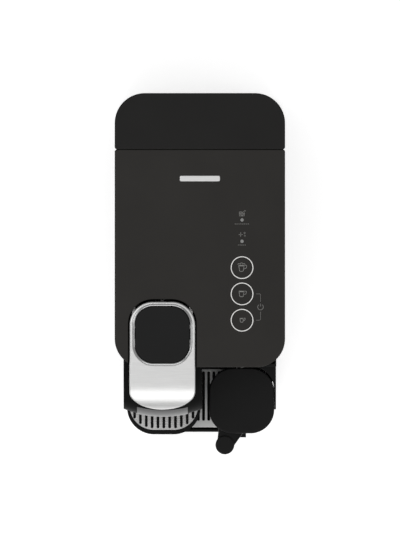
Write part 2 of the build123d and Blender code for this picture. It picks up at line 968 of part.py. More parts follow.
with BuildPart() as lever_shaft:
    shaft_reach = cam_outer
    rod((lever_x - shaft_reach, shaft_y, shaft_z), (1, 0, 0), shaft_radius, 2 * shaft_reach)
save(lever_shaft, "lever_shaft")

with BuildPart() as shaft_bushes:
    for side in (-1, 1):
        start = lever_x + min(side * frame_inner, side * frame_outer)
        rod((start, shaft_y, shaft_z), (1, 0, 0), bush_outer, side_plate)
        rod(
            (start - 1, shaft_y, shaft_z), (1, 0, 0), shaft_radius + shaft_play,
            side_plate + 2, Mode.SUBTRACT,
        )
save(shaft_bushes, "shaft_bushes")


def cam_point(turn, shift=0.0):
    """The follower pin's place in the lever's frame, as y and z from the shaft.

    The pin runs straight back by cage_stroke as the lever opens by lever_swing, and shift
    moves the point square to that path."""
    def place(angle):
        along = -pin_lead + cage_stroke * angle / lever_swing
        down = cage_z - shaft_z
        a = radians(angle)
        return along * cos(a) - down * sin(a), along * sin(a) + down * cos(a)

    y, z = place(turn)
    y1, z1 = place(turn - 0.5)
    y2, z2 = place(turn + 0.5)
    length = ((y2 - y1) ** 2 + (z2 - z1) ** 2) ** 0.5
    return (
        shaft_y + y + shift * (z2 - z1) / length,
        shaft_z + z - shift * (y2 - y1) / length,
    )


def cam_band(width, spare):
    """The band that the pin sweeps, width wide, with round ends spare degrees past it."""
    steps = 9
    turns = [-spare + (lever_swing + 2 * spare) * n / (steps - 1) for n in range(steps)]
    one = [cam_point(t, width / 2) for t in turns]
    other = [cam_point(t, -width / 2) for t in reversed(turns)]
    first, last = cam_point(turns[0]), cam_point(turns[-1])
    with BuildSketch() as band:
        with BuildLine():
            Spline(*one)
            Line(one[-1], other[0])
            Spline(*other)
            Line(other[-1], one[0])
        make_face()
        with Locations(first, last):
            Circle(width / 2)
    return band.sketch


with BuildPart() as cam_plates:
    for side in (-1, 1):
        x_low = lever_x + min(side * cam_inner, side * cam_outer)
        with BuildSketch(Plane.YZ.offset(x_low)):
            add(cam_band(2 * (pin_radius + cam_rim), 1))
            with BuildLine():
                Polyline(
                    (shaft_y, shaft_z),
                    *[cam_point(lever_swing * n / 6) for n in range(7)],
                    (shaft_y, shaft_z),
                )
            make_face()
            # foot that is fixed under the lever
            with Locations((shaft_y - 24, lever_top - lever_thickness - 12)):
                Rectangle(24, 24)
            with Locations((shaft_y, shaft_z)):
                Circle(shaft_radius + 1.5)
            add(cam_band(2 * (pin_radius + pin_play), 0.6), mode=Mode.SUBTRACT)
            with Locations((shaft_y, shaft_z)):
                Circle(shaft_radius, mode=Mode.SUBTRACT)
        extrude(amount=cam_outer - cam_inner)
save(cam_plates, "cam_plates")

# ==== water tank ====
dock_top = chassis_top + 31.0
tank_floor = dock_top + seam
tank_top = shell_top
tank_x_wall = half - wall
lid_axis_y = rear_y - 4.5
lid_axis_z = tank_top - 2.9
lid_knuckle = 2.7
lid_skirt = 5.0  # under the lid's axis
notch_half = half - rear_corner + 16.0
notch_z = lid_axis_z - hypot(rear_y - lid_axis_y, panel_top - lid_axis_z) - 0.4
ear_place = 20.0
ear_width = 5.0
socket_radius = 12.0
hose_radius = 3.2
valve_radius = 8.0
valve_y = (tank_front + rear_y) / 2
gland_x = -rear_corner - 11.0
gland_z = hose_gate_z + 2.0

with BuildPart() as tank_dock:
    extrude(
        plan(chassis_top, -half, half, tank_front, rear_y, 2, rear_corner),
        amount=dock_top - chassis_top,
    )
    extrude(
        plan(
            chassis_top, -half + wall, half - wall, tank_front + wall, rear_y - wall, 0,
            rear_corner - wall,
        ),
        amount=dock_top - chassis_top - wall,
        mode=Mode.SUBTRACT,
    )
    extrude(disc(chassis_top, 0, valve_y, socket_radius), amount=40, mode=Mode.SUBTRACT)
    rod((0, tank_front - 1, hose_gate_z), (0, 1, 0), hose_gate, wall + 2, Mode.SUBTRACT)
    rod((gland_x, rear_y + 1, gland_z), (0, -1, 0), 6.0, wall + 3, Mode.SUBTRACT)
save(tank_dock, "tank_dock")

with BuildPart() as cord_gland:
    rod((gland_x, rear_y, gland_z), (0, -1, 0), 6.0, wall)
    rod((gland_x, rear_y - wall, gland_z), (0, -1, 0), 8.5, 2)
    rod((gland_x, rear_y + 1, gland_z), (0, -1, 0), 3.6, 10, Mode.SUBTRACT)
save(cord_gland, "cord_gland")

with BuildPart() as tank_socket:
    socket_low = hose_gate_z - 5
    extrude(disc(socket_low, 0, valve_y, socket_radius), amount=dock_top - socket_low)
    extrude(disc(socket_low, 0, valve_y, socket_radius + 2), amount=dock_top - wall - socket_low)
    extrude(disc(dock_top - 11, 0, valve_y, socket_radius - 2), amount=12, mode=Mode.SUBTRACT)
    extrude(disc(dock_top - 11, 0, valve_y, 1.5), amount=5)
    rod((0, valve_y, hose_gate_z), (0, -1, 0), hose_radius, socket_radius + 6)
save(tank_socket, "tank_socket")

with BuildPart() as tank_body:
    extrude(
        plan(tank_floor, -half, half, tank_front, rear_y, 2, rear_corner),
        amount=tank_top - tank_floor,
    )
    fillet(tank_body.edges().group_by(Axis.Z)[0], 1.5)
    extrude(
        plan(
            tank_floor + 3, -tank_x_wall, tank_x_wall, tank_front + wall, rear_y - wall, 1,
            rear_corner - wall,
        ),
        amount=tank_top - tank_floor,
        mode=Mode.SUBTRACT,
    )
    extrude(disc(tank_floor, 0, valve_y, valve_radius), amount=3, mode=Mode.SUBTRACT)
    # notch behind the lid's hinge, and the ears that carry the pin
    block(
        -notch_half, notch_half, lid_axis_y - 6, rear_y + 1, notch_z, tank_top + 1,
        Mode.SUBTRACT,
    )
    for side in (-1, 1):
        x = side * (ear_place + ear_width / 2)
        block(
            x - ear_width / 2, x + ear_width / 2, lid_axis_y - lid_knuckle,
            rear_y - wall + 0.1, notch_z - 9, lid_axis_z,
        )
        rod((x - ear_width / 2, lid_axis_y, lid_axis_z), (1, 0, 0), lid_knuckle, ear_width)
        rod(
            (x - ear_width, lid_axis_y, lid_axis_z), (1, 0, 0), hinge_pin_radius,
            2 * ear_width, Mode.SUBTRACT,
        )
save(tank_body, "tank_body")

with BuildPart() as lid_hinge_pin:
    pin_reach = ear_place + 2 * ear_width + 0.5
    for side in (-1, 1):
        rod(
            (side * ear_place, lid_axis_y, lid_axis_z), (side, 0, 0), hinge_pin_radius,
            pin_reach - ear_place,
        )
save(lid_hinge_pin, "lid_hinge_pin")

with BuildPart() as tank_valve:
    extrude(disc(tank_floor - 5, 0, valve_y, valve_radius), amount=8)
    extrude(disc(tank_floor + 3, 0, valve_y, valve_radius + 2.5), amount=1.5)
    extrude(disc(tank_floor - 5, 0, valve_y, 2.5), amount=10, mode=Mode.SUBTRACT)
    extrude(disc(tank_floor + 4.5, 0, valve_y, 4.5), amount=9)
    extrude(disc(tank_floor + 4.5, 0, valve_y, 3.2), amount=7.5, mode=Mode.SUBTRACT)
    block(-6, 6, valve_y - 1.2, valve_y + 1.2, tank_floor + 6, tank_floor + 10, Mode.SUBTRACT)
save(tank_valve, "tank_valve")

with BuildPart() as tank_lid:
    extrude(
        plan(panel_bottom, -half, half, tank_front, rear_y, 2, rear_corner),
        amount=panel_thickness,
    )
    fillet(tank_lid.edges().group_by(Axis.Z)[-1], 0.8)
    # rib inside the tank's wall, open at the hinge
    rib = wall + 0.4
    with BuildSketch(Plane.XY.offset(panel_bottom)):
        add(plan(0, -half + rib, half - rib, tank_front + rib, rear_y - rear_corner, 1))
        add(
            plan(0, -half + rib + 2, half - rib - 2, tank_front + rib + 2, rear_y),
            mode=Mode.SUBTRACT,
        )
    extrude(amount=-panel_skirt)
    # skirt that covers the notch
    with BuildSketch(Plane.XY.offset(panel_bottom)):
        add(plan(0, -half, half, tank_front, rear_y, 0, rear_corner))
        add(
            plan(0, -half + 1.6, half - 1.6, tank_front, rear_y - 1.6, 0, rear_corner - 1.6),
            mode=Mode.SUBTRACT,
        )
        with Locations((0, rear_y)):
            Rectangle(2 * notch_half - 1, 2 * (rear_y - lid_axis_y), mode=Mode.INTERSECT)
        for side in (-1, 1):
            with Locations((side * (ear_place + ear_width / 2), rear_y)):
                Rectangle(ear_width + 0.8, 12, mode=Mode.SUBTRACT)
    extrude(amount=lid_axis_z - lid_skirt - panel_bottom)
    for side in (-1, 1):
        x_low = min(side * (ear_place + ear_width + 0.4), side * (ear_place + 2 * ear_width))
        lug = ear_width - 0.4
        block(
            x_low, x_low + lug, lid_axis_y - lid_knuckle, lid_axis_y + lid_knuckle,
            lid_axis_z, panel_bottom,
        )
        rod((x_low, lid_axis_y, lid_axis_z), (1, 0, 0), lid_knuckle, lug)
        rod(
            (x_low - 1, lid_axis_y, lid_axis_z), (1, 0, 0), hinge_pin_radius + shaft_play,
            lug + 2, Mode.SUBTRACT,
        )
save(tank_lid, "tank_lid")

# ==== drip tray ====
tray_rear = bin_rear + 4.0
with BuildPart() as drip_tray:
    extrude(
        plan(
            tray_bottom, -tray_half_width, tray_half_width, tray_front, tray_back,
            tray_corner,
        ),
        amount=tray_height,
    )
    extrude(
        plan(tray_bottom, bin_left, bin_right, panel_front - 10, tray_rear),
        amount=tray_height,
    )
    fillet(
        drip_tray.edges().filter_by(GeomType.LINE, reverse=True).group_by(Axis.Z)[0], 1.5
    )
    extrude(
        plan(
            tray_bottom + tray_wall, -tray_half_width + tray_wall,
            tray_half_width - tray_wall, tray_front + tray_wall,
            tray_back - tray_wall, tray_corner - tray_wall,
        ),
        amount=tray_height,
        mode=Mode.SUBTRACT,
    )
    extrude(
        plan(
            tray_bottom + tray_wall, bin_left + tray_wall, bin_right - tray_wall,
            panel_front - 12, tray_rear - tray_wall,
        ),
        amount=tray_height,
        mode=Mode.SUBTRACT,
    )
    # ribs that carry the grid and the bin
    grid_bottom = tray_top - grid_thickness - 1.0
    for x in (-32.0, 32.0):
        block(
            x - 1, x + 1, tray_front + tray_wall, tray_back - tray_wall,
            tray_bottom + tray_wall, grid_bottom,
        )
    for x in (bin_left + 12, bin_right - 12):
        block(
            x - 1, x + 1, panel_front + 4, tray_rear - tray_wall, tray_bottom + tray_wall,
            grid_bottom,
        )
save(drip_tray, "drip_tray")


def slot_row(z, x_centre, pitch, count, width, outline, rear):
    """Slots along Y at one pitch, each running from rear(x) to just inside the outline."""
    with BuildSketch(Plane.XY.offset(z)) as slots:
        for n in range(count):
            x = x_centre + pitch * (n - (count - 1) / 2)
            front = outline(x)
            length = rear(x) - front
            if length > 2 * width:
                with Locations((x, front + length / 2)):
                    SlotOverall(length, width, rotation=90)
    return slots.sketch


def inside_corner(x, x_low, x_high, front, corner):
    """The front edge's Y at x, on an outline with round front corners."""
    over = max(x_low + corner - x, x - (x_high - corner), 0.0)
    return front + corner - max(corner**2 - over**2, 0.0) ** 0.5


grid_half = tray_half_width - grid_margin
grid_front = tray_front + grid_margin
grid_rear = tray_back - tray_wall - tray_play
bin_seat_rear = bin_front - 1.0
with BuildPart() as drip_grid:
    extrude(
        plan(
            grid_bottom, -grid_half, grid_half, grid_front, bin_seat_rear,
            tray_corner - grid_margin,
        ),
        amount=grid_thickness,
    )
    extrude(
        plan(grid_bottom, bin_right + 1, grid_half, bin_seat_rear - 5, grid_rear),
        amount=grid_thickness,
    )
    slots = slot_row(
        grid_bottom - 1, 1.0, grid_pitch, grid_slots, grid_slot,
        lambda x: inside_corner(
            x, -grid_half, grid_half, grid_front, tray_corner - grid_margin
        ) + 6.0,
        lambda x: bin_seat_rear - 3.0 if x < bin_right + 2.0 else grid_rear - 2.0,
    )
    extrude(slots, amount=grid_thickness + 2, mode=Mode.SUBTRACT)
save(drip_grid, "drip_grid")

# ==== used capsule bin ====
bin_bottom = grid_bottom
bin_wall = 2.0
with BuildPart() as capsule_bin:
    extrude(
        plan(bin_bottom, bin_left + 3, bin_right - 3, bin_front, bin_rear, 3, 3),
        amount=bin_top - bin_bottom,
    )
    extrude(
        plan(
            bin_bottom + bin_wall, bin_left + 3 + bin_wall, bin_right - 3 - bin_wall,
            bin_front + bin_wall, bin_rear - bin_wall, 1.5, 1.5,
        ),
        amount=bin_top,
        mode=Mode.SUBTRACT,
    )
    # ears that carry the cup support's hinge
    for x in (support_left + 8, support_right - 8):
        block(
            x - 2, x + 2, hinge_y, bin_front + 0.5, hinge_z - hinge_radius,
            hinge_z + hinge_radius,
        )
        rod((x - 2, hinge_y, hinge_z), (1, 0, 0), hinge_radius, 4)
        rod(
            (x - 3, hinge_y, hinge_z), (1, 0, 0), hinge_pin_radius + shaft_play, 6,
            Mode.SUBTRACT,
        )
save(capsule_bin, "capsule_bin")

# ==== cup support ====
with BuildPart() as cup_support:
    support_rear = hinge_y
    extrude(
        plan(
            support_top - support_thickness, support_left, support_right, support_front,
            support_rear - 5, support_corner,
        ),
        amount=support_thickness,
    )
    extrude(
        plan(
            support_top - 2.6, support_left + support_rim, support_right - support_rim,
            support_front + support_front_rim, support_rear - 8, support_corner - support_rim,
        ),
        amount=3,
        mode=Mode.SUBTRACT,
    )
    extrude(
        plan(
            support_top - 4.8, support_left + support_rim + 2,
            support_right - support_rim - 2, support_front + support_front_rim + 2,
            support_rear - 10, support_corner - support_rim - 2,
        ),
        amount=4,
        mode=Mode.SUBTRACT,
    )
    # hinge barrel between the bin's ears
    barrel_left, barrel_right = support_left + 11, support_right - 11
    rod(
        (barrel_left, hinge_y, hinge_z), (1, 0, 0), hinge_radius, barrel_right - barrel_left
    )
    block(
        barrel_left, barrel_right, hinge_y - 7, hinge_y, hinge_z - 2.4, hinge_z + 2.4,
    )
    rod(
        (barrel_left - 1, hinge_y, hinge_z), (1, 0, 0), hinge_pin_radius,
        barrel_right - barrel_left + 2, Mode.SUBTRACT,
    )
save(cup_support, "cup_support")

with BuildPart() as cup_grid:
    cup_left = support_left + support_rim + 0.1
    cup_right = support_right - support_rim - 0.1
    cup_front = support_front + support_front_rim + 0.1
    cup_rear = support_rear - 8.1
    extrude(
        plan(
            support_top - 2.6, cup_left, cup_right, cup_front, cup_rear,
            support_corner - support_rim - 0.1,
        ),
        amount=2.2,
    )
    cup_slots = slot_row(
        support_top - 4, (cup_left + cup_right) / 2, support_pitch, support_slots,
        support_slot,
        lambda x: inside_corner(
            x, cup_left, cup_right, cup_front, support_corner - support_rim
        ) + 1.6,
        lambda x: cup_rear - 4,
    )
    extrude(cup_slots, amount=5, mode=Mode.SUBTRACT)
save(cup_grid, "cup_grid")

with BuildPart() as support_pin:
    rod(
        (support_left + 6, hinge_y, hinge_z), (1, 0, 0), hinge_pin_radius,
        support_width - 12,
    )
save(support_pin, "support_pin")

# ==== milk jug ====
jug_size = jug_lid_size - 2 * jug_shrink
jug_corner = jug_lid_corner - jug_shrink
low_size = jug_size - 2 * jug_taper


def jug_form(z_low, z_high, inset):
    """The jug's tapered body between two heights, drawn in by inset."""
    share_low = (z_low - jug_bottom) / jug_height
    share_high = (z_high - jug_bottom) / jug_height
    size_low = low_size + (jug_size - low_size) * share_low - 2 * inset
    size_high = low_size + (jug_size - low_size) * share_high - 2 * inset
    with BuildPart() as form:
        with BuildSketch(Plane.XY.offset(z_low)):
            with Locations((jug_x, jug_y)):
                RectangleRounded(size_low, size_low, jug_corner - inset)
        with BuildSketch(Plane.XY.offset(z_high)):
            with Locations((jug_x, jug_y)):
                RectangleRounded(size_high, size_high, jug_corner - inset)
        loft()
    return form.part


with BuildPart() as milk_jug:
    add(jug_form(jug_bottom, jug_top, 0))
    fillet(milk_jug.edges().group_by(Axis.Z)[0], 1.2)
    add(jug_form(jug_bottom + jug_foot_height, jug_top + 1, jug_wall), mode=Mode.SUBTRACT)
    add(
        jug_form(jug_bottom - 1, jug_bottom + jug_foot_height - jug_wall - 0.5, jug_wall),
        mode=Mode.SUBTRACT,
    )
save(milk_jug, "milk_jug")

plug_size = jug_size - 2 * jug_wall - 3.0
with BuildPart() as milk_lid_base:
    extrude(
        squircle(jug_top + 0.2, jug_x, jug_y, jug_lid_size, jug_lid_corner),
        amount=lid_base_height - 0.2,
    )
    extrude(
        squircle(jug_top - 7, jug_x, jug_y, plug_size, jug_corner - jug_wall - 1.5),
        amount=7.2,
    )
    # groove for the gasket
    with BuildSketch(Plane.XY.offset(jug_top - 5)):
        with Locations((jug_x, jug_y)):
            RectangleRounded(plug_size + 1, plug_size + 1, jug_corner - jug_wall - 1)
            RectangleRounded(
                plug_size - 3, plug_size - 3, jug_corner - jug_wall - 3, mode=Mode.SUBTRACT
            )
    extrude(amount=3, mode=Mode.SUBTRACT)
    # mixing chamber, steam inlet, milk inlet and the seat of the swivelling spout
    rod(
        (jug_x, jug_y, connector_z - 4), (0, 0, 1), 9, lid_base_height, Mode.SUBTRACT
    )
    rod(
        (jug_x, jug_rear + 1, connector_z), (0, -1, 0), nozzle_radius + nozzle_play,
        nozzle_length + 4, Mode.SUBTRACT,
    )
    rod((jug_x, jug_rear - 5, connector_z), (0, -1, 0), 2.5, jug_lid_size / 2, Mode.SUBTRACT)
    rod((jug_x, jug_y, jug_top - 10), (0, 0, 1), 3.0, 20, Mode.SUBTRACT)
    # front pointer tab
    block(
        jug_x - 2.0, jug_x + 4.0, jug_rear - jug_lid_size - 3.8, jug_rear - jug_lid_size + 2,
        jug_top + 6, lid_base_top - 3,
    )
save(milk_lid_base, "milk_lid_base")

with BuildPart() as lid_gasket:
    with BuildSketch(Plane.XY.offset(jug_top - 4.9)):
        with Locations((jug_x, jug_y)):
            RectangleRounded(plug_size + 2.2, plug_size + 2.2, jug_corner - jug_wall - 0.5)
            RectangleRounded(
                plug_size - 2.9, plug_size - 2.9, jug_corner - jug_wall - 2.9,
                mode=Mode.SUBTRACT,
            )
    extrude(amount=2.8)
save(lid_gasket, "lid_gasket")

with BuildPart() as milk_tube:
    rod(
        (jug_x, jug_y, jug_bottom + jug_foot_height + 4), (0, 0, 1), 3.0,
        jug_height - jug_foot_height - 4 + 1,
    )
    rod(
        (jug_x, jug_y, jug_bottom + jug_foot_height + 3), (0, 0, 1), 1.8,
        jug_height, Mode.SUBTRACT,
    )
save(milk_tube, "milk_tube")

with BuildPart() as milk_spout:
    with BuildSketch(Plane.XY.offset(spout_bottom)):
        with Locations((jug_x, jug_y)):
            Circle(spout_hub)
        with Locations((knob_x, knob_y)):
            Circle(spout_knob)
        make_hull()
    extrude(amount=spout_thickness)
    fillet(milk_spout.edges().group_by(Axis.Z)[-1], 1.0)
    # hub that turns in the lid's chamber, and the nozzle under the knob
    rod((jug_x, jug_y, connector_z + 3), (0, 0, 1), 8.7, spout_bottom - connector_z - 2)
    with Locations(Plane(origin=(knob_x, knob_y, spout_bottom + 1), z_dir=(0, 0, -1))):
        Cone(
            spout_knob - 0.5, spout_nozzle, spout_nozzle_length,
            align=(Align.CENTER, Align.CENTER, Align.MIN),
        )
    rod(
        (knob_x, knob_y, spout_bottom - spout_nozzle_length - 1), (0, 0, 1), spout_bore,
        spout_nozzle_length + 6, Mode.SUBTRACT,
    )
    rod(
        (jug_x, jug_y, spout_bottom + 4),
        (cos(radians(spout_angle)), sin(radians(spout_angle)), 0), spout_bore, spout_arm,
        Mode.SUBTRACT,
    )
    rod((jug_x, jug_y, connector_z + 2), (0, 0, 1), spout_bore, 8.5, Mode.SUBTRACT)
save(milk_spout, "milk_spout")

with BuildPart() as milk_lid_cap:
    extrude(
        squircle(spout_bottom, jug_x, jug_y, jug_lid_size, jug_lid_corner),
        amount=cap_top - spout_bottom,
    )
    fillet(milk_lid_cap.edges().group_by(Axis.Z)[-1], 1.2)
    extrude(
        squircle(spout_bottom, jug_x, jug_y, jug_lid_size - 4, jug_lid_corner - 2),
        amount=cap_bottom - spout_bottom,
        mode=Mode.SUBTRACT,
    )
    # window that the spout's arm sweeps through, round the front left
    with BuildSketch(Plane.XY.offset(spout_bottom - 1)):
        with BuildLine():
            reach = jug_lid_size
            Polyline(
                (jug_x + reach * 0.24, jug_y - 8),
                (jug_x + reach * 0.24, jug_y - reach),
                (jug_x - reach, jug_y - reach),
                (jug_x - reach, jug_y + reach * 0.16),
                (jug_x - 8, jug_y + reach * 0.16),
                (jug_x + reach * 0.24, jug_y - 8),
            )
        make_face()
    extrude(amount=cap_bottom - spout_bottom + 1, mode=Mode.SUBTRACT)
save(milk_lid_cap, "milk_lid_cap")

# ==== steam connector ====
with BuildPart() as steam_connector:
    rod((jug_x, panel_front + 18, connector_z), (0, -1, 0), nozzle_radius, 18 + nozzle_length)
    rod((jug_x, panel_front + 10, connector_z), (0, -1, 0), nozzle_radius + 6, 1.9)
    rod(
        (jug_x, panel_front + 19, connector_z), (0, -1, 0), 1.8, 22 + nozzle_length,
        Mode.SUBTRACT,
    )
    rod(
        (jug_x, panel_front - nozzle_length + 4.5, connector_z), (0, -1, 0),
        nozzle_radius + 1, 2.2, Mode.SUBTRACT,
    )
    rod(
        (jug_x, panel_front - nozzle_length + 4.6, connector_z), (0, -1, 0),
        nozzle_radius - 1.2, 2.4,
    )
    rod(
        (jug_x, panel_front + 19, connector_z), (0, -1, 0), 1.8, 22 + nozzle_length,
        Mode.SUBTRACT,
    )
save(steam_connector, "steam_connector")

with BuildPart() as connector_seal:
    rod(
        (jug_x, panel_front - nozzle_length + 4.4, connector_z), (0, -1, 0),
        nozzle_radius + 0.2, 2.0,
    )
    rod(
        (jug_x, panel_front - nozzle_length + 5, connector_z), (0, -1, 0),
        nozzle_radius - 1.2, 4, Mode.SUBTRACT,
    )
save(connector_seal, "connector_seal")

# ==== water and steam, inside the body ====
heater_x = half - 41.0
heater_low, heater_high = 84.0, 122.0
heater_front, heater_rear = panel_front + 34, panel_front + 98
with BuildPart() as thermoblock:
    block(heater_x - 22, heater_x + 22, heater_front, heater_rear, heater_low, heater_high)
    fillet(thermoblock.edges().filter_by(Axis.Z), 6)
    for n in range(4):
        y = heater_front + 34 + 7 * n
        block(
            heater_x - 23, heater_x + 23, y - 1.2, y + 1.2, heater_high - 5, heater_high + 1,
            Mode.SUBTRACT,
        )
save(thermoblock, "thermoblock")

with BuildPart() as heater_terminals:
    for x in (heater_x - 12, heater_x + 12):
        rod((x, heater_rear, heater_low + 14), (0, 1, 0), 3.2, 12)
        block(
            x - 3.1, x + 3.1, heater_rear + 12, heater_rear + 20, heater_low + 13.6,
            heater_low + 14.4,
        )
save(heater_terminals, "heater_terminals")

pump_x = half - 38.0
pump_z = chassis_top + 34.0
pump_y = shell_rear - 87.4
with BuildPart() as water_pump:
    rod((pump_x, pump_y, pump_z), (0, 1, 0), 15, 62)
    block(pump_x - 22, pump_x + 22, pump_y + 12, pump_y + 46, pump_z - 20, pump_z + 20)
    rod((pump_x, pump_y - 10, pump_z), (0, 1, 0), 4, 11)
    rod((pump_x, pump_y + 61, pump_z), (0, 1, 0), 4, 7)
save(water_pump, "water_pump")

with BuildPart() as pump_mounts:
    for y in (pump_y + 4.5, pump_y + 53.5):
        block(pump_x - 19, pump_x + 19, y - 3.5, y + 3.5, chassis_top, pump_z + 12)
        rod((pump_x, y - 4, pump_z), (0, 1, 0), 15, 8, Mode.SUBTRACT)
save(pump_mounts, "pump_mounts")

meter_y = shell_rear - 34.0
with BuildPart() as flow_meter:
    rod((0, meter_y, chassis_top), (0, 0, 1), 17, 21)
    block(-10, 10, meter_y - 8, meter_y + 8, chassis_top + 21, chassis_top + 26)
    rod((0, meter_y - 23, hose_gate_z), (0, 1, 0), hose_radius, 46)
save(flow_meter, "flow_meter")

with BuildPart() as steam_valve:
    valve_x = jug_x
    block(
        valve_x - 13, valve_x + 13, panel_front + 18.5, panel_front + 40, connector_z - 12,
        connector_z + 10,
    )
    rod((valve_x, panel_front + 29, connector_z + 10), (0, 0, 1), 11, 24)
save(steam_valve, "steam_valve")

board_x = -half + wall + 6.0
with BuildPart() as power_board:
    block(board_x, board_x + 1.6, panel_front + 112, shell_rear - 12, 60, 190)
save(power_board, "power_board")

with BuildPart() as board_components:
    for y, z, size, tall in (
        (panel_front + 128, 80, 12, 16),
        (panel_front + 152, 84, 16, 22),
        (panel_front + 128, 112, 10, 12),
        (panel_front + 152, 124, 14, 16),
        (panel_front + 134, 150, 18, 20),
    ):
        block(
            board_x + 1.6, board_x + 1.6 + tall, y - size / 2, y + size / 2, z - size / 2,
            z + size / 2,
        )
    rod((board_x + 1.6, panel_front + 164, 165), (1, 0, 0), 6, 24)
save(board_components, "board_components")

steam_y = panel_front + 58.0
brew_turn_y = heater_rear + 16.0
with BuildPart() as water_hoses:
    add(hose([(0, valve_y - socket_radius - 6, hose_gate_z), (0, meter_y + 23, hose_gate_z)]))
    add(
        hose(
            [
                (0, meter_y - 23, hose_gate_z),
                (0, pump_y - 18, hose_gate_z),
                (pump_x, pump_y - 18, hose_gate_z),
                (pump_x, pump_y - 18, pump_z),
                (pump_x, pump_y - 10, pump_z),
            ]
        )
    )
    add(
        hose(
            [
                (pump_x, pump_y + 68, pump_z),
                (pump_x, pump_y + 77, pump_z),
                (pump_x, pump_y + 77, heater_low + 24),
                (heater_x, pump_y + 40, heater_low + 24),
                (heater_x, heater_rear, heater_low + 24),
            ]
        )
    )
    add(
        hose(
            [
                (heater_x - 14, heater_rear, heater_high - 14),
                (heater_x - 14, brew_turn_y, heater_high - 14),
                (heater_x - 14, brew_turn_y, cage_z - 10),
                (lever_x, frame_rear + 46, cage_z),
                (lever_x, manifold_front + manifold_depth + 5, cage_z),
            ]
        )
    )
    add(
        hose(
            [
                (jug_x, panel_front + 40, connector_z - 4),
                (jug_x, steam_y, connector_z - 4),
                (jug_x, steam_y, heater_high),
            ]
        )
    )
save(water_hoses, "water_hoses")
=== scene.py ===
import json
import logging
from dataclasses import dataclass, field
from enum import Enum

import bmesh
import bpy
import numpy as np
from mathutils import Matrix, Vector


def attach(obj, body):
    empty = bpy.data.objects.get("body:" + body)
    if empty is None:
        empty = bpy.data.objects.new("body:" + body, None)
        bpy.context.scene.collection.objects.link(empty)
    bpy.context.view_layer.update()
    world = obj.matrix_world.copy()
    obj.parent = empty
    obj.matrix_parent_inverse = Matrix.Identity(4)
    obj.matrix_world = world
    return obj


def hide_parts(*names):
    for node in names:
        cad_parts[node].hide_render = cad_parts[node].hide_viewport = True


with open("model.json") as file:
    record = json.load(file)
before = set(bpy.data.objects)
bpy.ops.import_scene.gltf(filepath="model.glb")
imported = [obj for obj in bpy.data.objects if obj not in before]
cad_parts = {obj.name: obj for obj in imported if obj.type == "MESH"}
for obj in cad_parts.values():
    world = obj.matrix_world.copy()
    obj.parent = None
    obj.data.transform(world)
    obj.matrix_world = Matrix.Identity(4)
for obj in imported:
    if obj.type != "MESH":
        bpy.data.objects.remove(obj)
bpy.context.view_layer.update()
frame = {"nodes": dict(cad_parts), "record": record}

log = logging.getLogger("coffee_machine")
MM = 0.001
Colour = tuple[float, float, float]
Socket = bpy.types.NodeSocket


class Ends(Enum):
    """How the first and last loop of a lofted surface are finished."""

    CAPPED = "capped"
    JOINED = "joined"


class Direction(Enum):
    """The way a metal's brush marks or a moulding's flow lines run."""

    ALONG_X = (0.04, 1.0, 1.0)
    ALONG_Y = (1.0, 0.04, 1.0)
    ALONG_Z = (1.0, 1.0, 0.04)
    EVEN = (1.0, 1.0, 1.0)


# ---------------------------------------------------------------- materials


